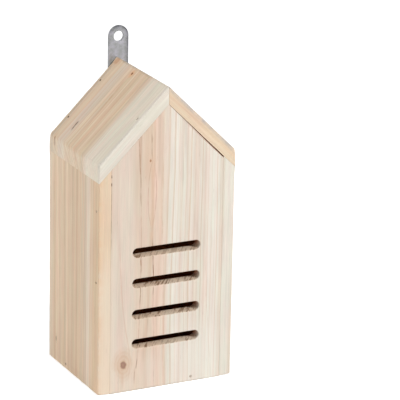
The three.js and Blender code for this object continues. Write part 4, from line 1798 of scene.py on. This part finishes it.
@dataclass
class GablePanels(Boards):
    """The front and back panels, whose tops are pointed to fit under the roof."""

    slots: Slots = Slots()
    loose_round: float = 0.22
    tight_round: float = 0.1
    seat_round: float = 0.1
    seam: float = 0.04
    open_share: float = 0.12
    column_share: float = 0.7
    knee: float = 150.0
    tight_run: Pair = (112.0, 30.0)
    right_gap: float = 1.0
    # The heights over which painted shade along the front's foot fades out
    worn_foot: Pair = (0.25, 1.1)
    sway: float = 0.04
    uneven: float = 0.2
    piece = "gable_board"
    slot = "{}_pine"
    node = "panel"

    def finishes(self) -> dict[Panel, Pine]:
        """The pine of each panel: the front's is rosy on the left and pale on the right."""
        first = GrainLine(-18.9, 97, 16, 188, bend=-0.0004, width=0.55, share=0.5)
        second = GrainLine(-10.6, 112, -5, 196, lean=-0.02, width=0.5, share=0.4)
        front = Pine(
            title="rosy_front_pine", across=(1, 0, 0), along=(0, 0, 1), into=(0, 1, 0),
            bands=((Tone.FAWN, -41), (Tone.ASH, -38, -25), (Tone.FAWN, -22, -16, -11.5),
                   (Tone.PINK, -10, -5), (Tone.HAZE, -2.5), (Tone.STRAW, 0), (Tone.MILK, 2),
                   (Tone.PALE, 5, 8), (Tone.STRAW, 10), (Tone.MILK, 12.5), (Tone.STRAW, 15),
                   (Tone.PALE, 17.5), (Tone.STRAW, 20, 22.5), (Tone.MILK, 25), (Tone.STRAW, 28),
                   (Tone.PALE, 31, 36), (Tone.MILK, 38.5), (Tone.HAZE, 41)),
            pith=(-24, 0, 30), spacing=1.45, ring_share=0.65, wander=0.25, seed=5.0, onset=0.55,
            year_share=0.045, streak_share=0.22, sapwood=-19.5, sawn_pale=0.6,
            knots=(Knot(-31.2, 19.7, 2.1, 1.45, core=(158, 122, 106), core_share=0.95, halo=(208, 172, 140),
                        halo_share=0.7, draw=1.9, reach=4.8),
                   Knot(-12.9, 161.5, 0.7, 1.5, core=(176, 128, 98), core_share=0.9, halo=(218, 182, 152))),
            lines=(*first.darkened((126, 182, 0.6), (82, 98, 1.0, (152, 92, 54)),
                                   (58, 80, 0.6), (14, 24, 0.7)),
                   *second.darkened((162, 182, 0.8), (100, 109, 0.9), (77, 99, 1.0, (136, 76, 40)),
                                    (66, 74, 0.6), (-2, 14, 0.5)),
                   GrainLine(-11.4, 134, 98, 170, width=2.4, share=0.6, tone=(222, 190, 164)),
                   GrainLine(-3.6, 130, 100, 165, width=0.8, share=0.45, tone=(200, 158, 124)),
                   GrainLine(-2.2, 70, -5, 100, lean=-0.01, width=0.9, share=0.4, tone=(208, 168, 142)),
                   GrainLine(-22.8, 10, 3, 18, lean=0.03, width=0.6, fade=5, share=0.6, tone=(168, 124, 94)),
                   GrainLine(-32.7, 67, 26, 112, lean=-0.1, bend=0.00134, width=0.7, share=0.35,
                             tone=(206, 160, 134)),
                   GrainLine(32.2, 35, 0, 95, lean=-0.071, bend=0.0001, width=0.7, share=0.3,
                             tone=(206, 176, 152)),
                   # A dark line along the left edge: painted shade in the seam with the wall
                   GrainLine(-41.0, 124, 100, 152, width=0.5, share=0.55, tone=(152, 126, 92)),
                   GrainLine(-14.4, 139, 112, 166, bend=0.0045, width=0.5, share=0.55, tone=(184, 136, 106)),
                   GrainLine(-8.6, 139, 112, 166, bend=-0.0042, width=0.55, share=0.5, tone=(190, 142, 112)),
                   GrainLine(-26.0, 20, 4, 36, bend=-0.012, width=0.6, share=0.4, tone=(204, 166, 138)),
                   Stripe(-31.8, 1, 17, width=1.5, fade=6, share=0.35, tone=(210, 174, 148)),
                   Stripe(-20.1, 148, 202, width=1.3, share=0.65, tone=(190, 156, 132)),
                   Stripe(-6.4, 144, 206, width=2.4, share=0.75, tone=(212, 188, 168)),
                   Stripe(13.0, 160, 210, width=2.0, share=0.6, tone=(214, 200, 186)),
                   Stripe(23.2, 150, 202, width=2.4, share=0.6, tone=(220, 205, 189)),
                   Stripe(34.0, 96, 172, width=3.0, fade=20, share=0.6, tone=(233, 231, 217)),
                   Stripe(-37.2, 108, 172, width=2.4, fade=16, share=0.5, tone=(216, 198, 180)),
                   Stripe(-14.5, 140, 206, width=6.5, fade=16, share=0.35, tone=(212, 176, 146)),
                   Stripe(-12, -24, 36, width=14, fade=22, share=0.4, tone=(230, 219, 208)),
                   Stripe(24, -40, 62, width=28, fade=44, share=0.5, tone=(237, 233, 224)),
                   Stripe(-39.5, -30, 110, width=4, fade=30, share=0.45, tone=(233, 223, 205)),
                   # Two dark spots at the left edge: painted shade in the seam with the wall
                   GrainLine(-41.1, 154, 152.6, 155.4, width=0.7, fade=0.8, share=0.95, tone=(92, 62, 40)),
                   GrainLine(-41.1, 148.4, 147, 149.8, width=0.7, fade=0.8, share=0.95, tone=(92, 62, 40))),
            late_tint=(234, 213, 193), sawn_tint=(250, 243, 236), torn_share=0.85, torn_tint=(162, 136, 114),
            # Painted shade in the slots, in the gap under the roof and in the chamber; the edge tint is
            # painted shade along the foot
            painted_shade_tint=(182, 103, 54), edge_tint=(184, 176, 164), edge_share=0.8,
            chamber_shade_tint=(204, 140, 86),
        )
        back = Pine(
            title="plain_back_pine", across=(1, 0, 0), along=(0, 0, 1), into=(0, -1, 0),
            bands=((Tone.CREAM, -41), (Tone.ORANGE, -26), (Tone.HONEY, -12), (Tone.ORANGE, -2),
                   (Tone.CREAM, 10), (Tone.PINK, 22), (Tone.ORANGE, 32), (Tone.CREAM, 41)),
            pith=(12, 0, -34), spacing=3.6, ring_share=0.5, wander=0.9, seed=23.0,
            knots=(Knot(17.0, 88.0, 2.6, 1.4), Knot(-24.0, 131.0, 1.2, 1.5)),
        )
        return {Panel.FRONT: front, Panel.BACK: back}

    @property
    def side(self) -> float:
        """Half the width of a panel, which stands between the walls."""
        return self.house.half_width - self.house.thickness - self.seam

    def opening(self, x: Array, slotted: bool) -> Array:
        """The gap under the roof at places across: it widens to the right on the slotted front."""
        share = self.open_share + (1 - self.open_share) * x / self.side
        return self.seam + (self.right_gap - self.seam) * share * (x > GUARD / 2) * slotted

    def shaded_seam(self, points: Array) -> Array:
        """Tells how much painted shade the points get in the open gap under the right roof board.

        Args:
            points: The front panel's points.

        Returns:
            Values from 0 to 1.
        """
        x, _, z = points.T
        below_top = self.house.roof_under(x) - self.opening(x, True) - z
        deep = np.interp(below_top, (0.12, 0.35), (1.0, 0.0))
        return deep * np.interp(x, (0.0, self.side), (0.3, 1.0)) * (x > 0)

    def surface(self, panel: Panel) -> Surface:
        """Draws one panel.

        The block's first side is the width, its second the height and its third the thickness. Above
        the knee the height is stretched or drawn in, so that the top follows the roof's underside.

        Args:
            panel: Which panel.

        Returns:
            Its surface.
        """
        house, slotted = self.house, panel is Panel.FRONT
        nails = self.brads.in_panel(panel)
        apex = node_corners(f"{panel.label}_panel")[1][2]
        side = self.side
        columns = [hole_lines(nails[0].mouth[0]), np.array([-GUARD, 0, GUARD])]
        rows = [hole_lines(nails[0].mouth[2])]
        if slotted:
            columns += np.split(self.slots.side_lines(), 2)
            rows.append(self.slots.row_lines())
        widest = (self.loose_round * (1 + self.uneven),) * 2
        lines = (
            block_lines(-side, side, widest, self.pitch * self.column_share, tuple(columns)),
            block_lines(0.0, apex, widest, self.pitch, tuple(rows)),
            block_lines(0.0, house.thickness, widest, self.pitch),
        )

        def radius(place: Array) -> Array:
            """Less on the upper left side, and least where the panel is seated under the roof."""
            up = np.round(place[..., 1], 2)
            seat = rise(apex - up, *self.seat_run)
            tight = self.tight_round + (self.loose_round - self.tight_round) * rise(up, *self.tight_run)
            size = np.where(place[..., 0] > 0, self.loose_round, tight)
            uneven = 1 + self.uneven * ripple(up, 4 if slotted else 6)
            return self.seat_round + (size * uneven - self.seat_round) * seat

        board = Surface.welded(rounded_block(lines, radius))
        x, up, deep = board.points.T
        top = house.roof_under(x) - self.opening(x, slotted)
        stretched = self.knee + (up - self.knee) * (top - self.knee) / (apex - self.knee)
        y = panel.value * (house.half_depth - deep)
        board.points = np.column_stack([x, y, np.where(up < self.knee, up, stretched)])
        if slotted:
            board = self.slotted(board, lines[0][:, 0])
        x, _, z = board.points.T
        inside = self.inner(side - np.abs(x))
        board.points[:, 1] += panel.value * self.sway * inside * ripple(x + 0.15 * z, 9)
        board.points = holed(board.points, nails)
        return board

    def slotted(self, board: Surface, columns: Array) -> Surface:
        """Cuts the slots into the front panel and paints shade along its lower edge.

        Args:
            board: The panel without its slots.
            columns: Its upright grid lines.

        Returns:
            The panel, its slots walled from face to face.
        """
        front, back = -self.house.half_depth, self.house.thickness - self.house.half_depth
        board.points = self.slots.opened(board.points)
        tunnels = [self.slots.tunnel(height, columns, front, back) for height in self.slots.heights]
        board = Surface.welded([board, *tunnels])
        board.points = self.slots.settled(board.points, front)
        # Painted shade along the foot, in place of all the panel's edge values
        board.edge = np.interp(board.points[:, 2], self.worn_foot, (1.0, 0.0))
        return board

    def marks(self, place: Panel, surface: Surface, finish: Pine, mesh: bpy.types.Mesh) -> dict[str, Array]:
        """Adds painted shade at the slots' right ends and in the gap under the roof to the front's marks."""
        found = super().marks(place, surface, finish, mesh)
        if place is Panel.FRONT:
            painted_shade = self.slots.painted_shade(surface.points, -self.house.half_depth)
            found["painted_shade"] = np.maximum(painted_shade, self.shaded_seam(surface.points))
        return found


@dataclass
class Floor(Boards):
    """The board between the walls and the panels that closes the house below."""

    edge_round: float = 0.3
    pitch: float = 5.0
    piece = "plank"
    slot = "floor_pine"
    node = "board"

    def finishes(self) -> dict[Level, Pine]:
        """The pine of the floor, its grain across the house."""
        return {Level.FLOOR: Pine(
            title="floor_pine", across=(0, 1, 0), along=(1, 0, 0), into=(0, 0, 1),
            bands=((Tone.CREAM, -33), (Tone.ORANGE, -10), (Tone.HONEY, 12), (Tone.CREAM, 33)),
            pith=(5, 0, 40), spacing=3.2, ring_share=0.5, wander=0.8, seed=31.0,
            knots=(Knot(9.0, -14.0, 2.2, 1.4),),
        )}

    def surface(self, place: Level) -> Surface:
        """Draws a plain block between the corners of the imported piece."""
        low, high = node_corners(f"{place.label}_{self.node}")
        lines = tuple(block_lines(a, b, (self.edge_round,) * 2, self.pitch) for a, b in zip(low, high))
        return Surface.welded(rounded_block(lines, lambda spot: np.full(spot.shape[:-1], self.edge_round)))


# Hanger

@dataclass
class Hanger:
    """The steel plate that the house hangs by, and the two screws that hold it."""

    edge_round: float = 0.42
    hole_round: float = 0.14
    hole: float = 3.6
    screw_hole: float = 1.7
    countersink: float = 3.0
    hole_edge: float = 0.7
    side_steps: int = 10
    rings: int = 6
    # How the plate's painted rim shade spreads: its width, its lean to the right and the top, its crown and
    # its shares
    dim_width: float = 4.0
    dim_lean: Triple = (0.5, 0.45, 0.2)
    dim_crown: Pair = (-8.0, 3.0)
    dim_shares: Pair = (0.85, 0.75)
    # The plate's edge tone is painted shade and dark reflection on its rim
    plate_finish: Steel = Steel("galvanised_plate", (144, 147, 145), (178, 177, 186), (34, 38, 46), 0.46,
                                edge_share=1.0, cloud_pitch=0.2, metallic=0.4)
    screw_finish: Steel = Steel("zinc_screw", (178, 180, 182), (196, 197, 198), (120, 121, 124), 0.3)

    def screws(self) -> tuple[Fastener, ...]:
        """The two screws, upper first."""
        outward, across = np.array([0.0, 1.0, 0.0]), np.array([-1.0, 0.0, 0.0])
        return tuple(Fastener(f"hanger_screw_{place}", outward, across, 0.0) for place in ("upper", "lower"))

    def cell(self, middle: Array, low: float, high: float, half: float, rounded: int) -> Array:
        """Outlines one stretch of the plate round a hole.

        Args:
            middle: The hole's middle, x and z.
            low: The height where the stretch begins.
            high: The height where it ends.
            half: Half the plate's width.
            rounded: 1 for a round upper end, -1 for a round lower end, 0 for none.

        Returns:
            The outline's points, closed, going round the hole.
        """
        x, z = middle
        sides = np.linspace(-half, half, 2 * self.side_steps + 1)
        up = np.linspace(low, high, self.side_steps + 1)
        turn = np.linspace(math.pi, 0, 3 * self.side_steps + 1)
        arc = pairs(x + half * np.cos(turn), z + rounded * half * np.sin(turn))
        upper, lower = pairs(x + sides, high), pairs(x + sides, low)
        if rounded > 0:
            up, upper = np.linspace(low, z, self.side_steps + 1), arc
        if rounded < 0:
            up, lower = np.linspace(z, high, self.side_steps + 1), arc
        left, right = pairs(x - half, up), pairs(x + half, up)
        return np.vstack([left[:-1], upper[:-1], right[::-1][:-1], lower[::-1]])

    def face(self, outline: Array, middle: Array, radius: float, y: float) -> Surface:
        """Fills a stretch of the plate by straight lines from its hole to its outline.

        Args:
            outline: The outline's points.
            middle: The hole's middle.
            radius: The hole's radius.
            y: Where the face lies.

        Returns:
            The face.
        """
        rim = middle + unit(outline - middle) * radius
        share = np.linspace(0, 1, self.rings + 1)[:, None, None]
        flat = rim[None] * (1 - share) + outline[None] * share
        return Surface.patch(upright(flat, y))

    def plate(self) -> Surface:
        """Draws the plate: its two faces stretch by stretch, its rim, and the walls of its holes."""
        low, high = node_corners("hanger_plate")
        half, x = (high[0] - low[0]) / 2, (high[0] + low[0]) / 2
        inner = half - self.edge_round
        upper, lower = (screw.head[2] for screw in self.screws())
        top_end, low_end = high[2] - half, low[2] + half
        between = (upper + lower) / 2
        above = upper + (upper - between)
        holes = [((x, top_end), above + half, high[2], 1, self.hole, self.hole),
                 ((x, upper), between, above, 0, self.screw_hole, self.countersink),
                 ((x, lower), low[2], between, -1, self.screw_hole, self.countersink)]
        sine, drop = quarter()
        parts = []
        for place, start, end, rounded, front_hole, back_hole in holes:
            middle = np.array(place)
            outline = self.cell(middle, start, end, inner, rounded)
            parts.append(self.face(outline, middle, front_hole + self.hole_round, low[1]))
            parts.append(self.face(outline, middle, back_hole + self.hole_round, high[1]))
            out = unit((outline - middle)[:-1])
            flare, sunk = self.hole_round * (1 - sine), self.hole_round * drop
            radii = np.concatenate([front_hole + flare, back_hole + flare[::-1]])
            depths = np.concatenate([low[1] + sunk, high[1] - sunk[::-1]])
            edge = self.hole_edge * np.sin(np.tile(np.linspace(0, math.pi, len(sine)), 2))
            parts.append(swept_ring(np.broadcast_to(middle, out.shape), out, radii, depths, edge))
        sides = np.linspace(-inner, inner, 2 * self.side_steps + 1)
        plain = np.linspace(above, above + half, self.side_steps + 1)
        strip = np.stack(np.meshgrid(x + sides, plain, indexing="ij"), axis=-1)
        for y in (low[1], high[1]):
            parts.append(Surface.patch(upright(strip, y)))
        parts.append(self.rim(x, low, high, inner, (low_end, between, above, above + half, top_end)))
        plate = Surface.welded(parts)
        plate.edge = self.painted_rim_shade(plate, x, half, low_end, top_end)
        return plate

    def painted_rim_shade(self, plate: Surface, x: float, half: float, low_end: float, top_end: float) -> Array:
        """Spreads the painted shade and dark reflection of the rim inward over the faces: darker to the right
        and at the top, lighter on the left.

        Args:
            plate: The plate's surface.
            x: Its middle.
            half: Half its width.
            low_end: The height of the lower round end's middle.
            top_end: The height of the upper round end's middle.

        Returns:
            The edge value of each point.
        """
        out = plate.points[:, [0, 2]] - (x, 0)
        out[:, 1] -= np.clip(out[:, 1], low_end, top_end)
        distance = np.linalg.norm(out, axis=1)
        right, up = out.T / np.maximum(distance, 1e-6)
        near_rim = np.clip(1 - (half - distance) / self.dim_width, 0, 1) ** 2
        crown = np.interp(plate.points[:, 2], top_end + np.array(self.dim_crown), (0.0, 0.6))
        level, to_right, to_top = self.dim_lean
        weight = np.clip(level + to_right * right + to_top * up + crown, 0, 1.6)
        on_edge, on_face = self.dim_shares
        return np.maximum(plate.edge * on_edge, near_rim * on_face) * weight

    def rim(self, x: float, low: Array, high: Array, inner: float, marks: tuple[float, ...]) -> Surface:
        """Draws the rounded rim round the plate, point by point on the faces' outline.

        Args:
            x: The plate's middle.
            low: Its lowest corner.
            high: Its highest corner.
            inner: Half the width of its flat faces.
            marks: The heights where one stretch of a face meets the next, between the round ends.

        Returns:
            The band of the rim.
        """
        def climb(heights: tuple[float, ...]) -> Array:
            """Even steps from each height to the next."""
            return np.concatenate([np.linspace(a, b, self.side_steps + 1)[:-1] for a, b in pairwise(heights)])

        up, down = climb(marks), climb(marks[::-1])
        turn = np.linspace(0, math.pi, 3 * self.side_steps + 1)[:-1]
        top, bottom = np.full_like(turn, marks[-1]), np.full_like(turn, marks[0])
        middles = pairs(x, np.concatenate([up, top, down, bottom]))
        over, left = pairs(-np.cos(turn), np.sin(turn)), pairs(-np.ones_like(up), 0.0)
        outwards = np.vstack([left, over, -left, -over])
        sine, drop = quarter()
        swell, sunk = inner + self.edge_round * sine, self.edge_round * drop
        offsets = np.concatenate([swell, swell[::-1]])
        depths = np.concatenate([low[1] + sunk, high[1] - sunk[::-1]])
        edge = np.concatenate([sine, sine[::-1]])
        return swept_ring(middles, outwards, offsets, depths, edge)

    def build(self) -> None:
        """Makes the plate and its screws."""
        make_piece("hanger_strap", self.plate(), self.plate_finish.material(), "hanger_plate")
        steel = self.screw_finish.material()
        for screw in self.screws():
            screw.make(ScrewShape().surface(), steel, "screw_steel", "cross")


# Studio

def towards(azimuth: float, elevation: float) -> Vector:
    """The direction from the house to a place, turned from straight before it and raised, in radians."""
    level = math.cos(elevation)
    return Vector((math.sin(azimuth) * level, -math.cos(azimuth) * level, math.sin(elevation)))


@dataclass(frozen=True)
class PhotoCamera:
    """The camera that took the photograph, as fitted to the house's corners and slots."""

    azimuth: float = math.radians(-26.738)
    elevation: float = math.radians(18.229)
    roll: float = math.radians(1.147)
    lens: float = 253.05
    distance: float = 1915.4
    aim: Triple = (0.0, 0.0, 100.5)
    beside: float = 40.367
    above: float = 18.716

    def build(self) -> None:
        """Makes the camera and gives it to the scene."""
        level = Vector((math.cos(self.azimuth), math.sin(self.azimuth), 0))
        back = towards(self.azimuth, self.elevation)
        steep = back.cross(level)
        right = level * math.cos(self.roll) + steep * math.sin(self.roll)
        up = steep * math.cos(self.roll) - level * math.sin(self.roll)
        place = Vector(self.aim) + right * self.beside + up * self.above + back * self.distance
        camera = bpy.data.cameras.new("photo_camera")
        camera.lens = self.lens
        camera.clip_end = 20.0
        seen = bpy.data.objects.new("photo_camera", camera)
        turn = Matrix((right, up, back)).transposed().to_4x4()
        seen.matrix_world = Matrix.Translation(place * MM) @ turn
        bpy.context.scene.collection.objects.link(seen)
        bpy.context.scene.camera = seen


@dataclass(frozen=True)
class Lamp:
    """A soft square lamp that looks at the house: its direction, distance, size and power."""

    title: str
    azimuth: float
    elevation: float
    distance: float
    size: float
    power: float

    def build(self, aim: Vector) -> None:
        """Makes the lamp.

        Args:
            aim: The point that it looks at, in metres.
        """
        back = towards(math.radians(self.azimuth), math.radians(self.elevation))
        light = bpy.data.lights.new(self.title, "AREA")
        light.shape = "SQUARE"
        light.size = self.size
        light.energy = self.power
        lamp = bpy.data.objects.new(self.title, light)
        lamp.location = aim + back * self.distance
        lamp.rotation_euler = back.to_track_quat("Z", "Y").to_euler()
        bpy.context.scene.collection.objects.link(lamp)


@dataclass
class Studio:
    """A plain white studio: a pale floor, a white surround and two soft lamps."""

    ambient: float = 0.27
    floor_size: float = 8.0
    floor_tone: Triple = (240, 240, 240)
    floor_lift: float = 0.6
    lamps: tuple[Lamp, ...] = (
        Lamp("front_right_key", 30, 35, 3.0, 0.5, 57.5),
        Lamp("left_fill", -90, 36, 2.5, 0.9, 24.8),
    )

    def backdrop_rays(self, w: Wiring) -> Socket:
        """One for rays that should find the white surround: from the eye, or off metal or through glass."""
        path = w.node("ShaderNodeLightPath")
        seen = w.math("MAXIMUM", path.outputs["Is Camera Ray"], path.outputs["Is Glossy Ray"])
        return w.math("MAXIMUM", seen, path.outputs["Is Transmission Ray"])

    def build(self) -> None:
        """Makes the surround, the floor and the lamps, and sets how colours are shown."""
        scene = bpy.context.scene
        scene.view_settings.view_transform = "Standard"
        world = bpy.data.worlds.new("white_studio")
        world.use_nodes = True
        world.node_tree.nodes.clear()
        w = Wiring(world.node_tree)
        strength = w.scaled(self.backdrop_rays(w), 1.0 - self.ambient, self.ambient)
        sky = w.node("ShaderNodeBackground", {"Color": (1.0, 1.0, 1.0, 1.0), "Strength": strength})
        w.node("ShaderNodeOutputWorld", {"Surface": sky.outputs[0]})
        scene.world = world
        half = self.floor_size / 2
        mesh = bpy.data.meshes.new("studio_floor")
        corners = [(-half, -half, 0), (half, -half, 0), (half, half, 0), (-half, half, 0)]
        mesh.from_pydata(corners, [], [(0, 1, 2, 3)])
        material, w, shader = new_material("pale_floor")
        lift = w.times(self.backdrop_rays(w), self.floor_lift)
        w.feed(shader, {"Base Color": linear(self.floor_tone), "Roughness": 0.9, "Specular IOR Level": 0.0,
                        "Emission Color": (1.0, 1.0, 1.0, 1.0), "Emission Strength": lift})
        mesh.materials.append(material)
        floor = bpy.data.objects.new("studio_floor", mesh)
        scene.collection.objects.link(floor)
        for lamp in self.lamps:
            lamp.build(Vector((0.0, 0.0, 0.1)))


def main() -> None:
    """Builds the camera, the studio and every piece of the house."""
    logging.basicConfig(level=logging.INFO, format="%(name)s: %(message)s")
    PhotoCamera().build()
    Studio().build()
    house, brads = House.measured(), Brads()
    boards = [kind(house, brads) for kind in (GablePanels, Walls, Roof, Floor)]
    for group in (*boards, Hanger(), brads):
        log.info("building %s", type(group).__name__)
        group.build()


if __name__ == "__main__":
    main()
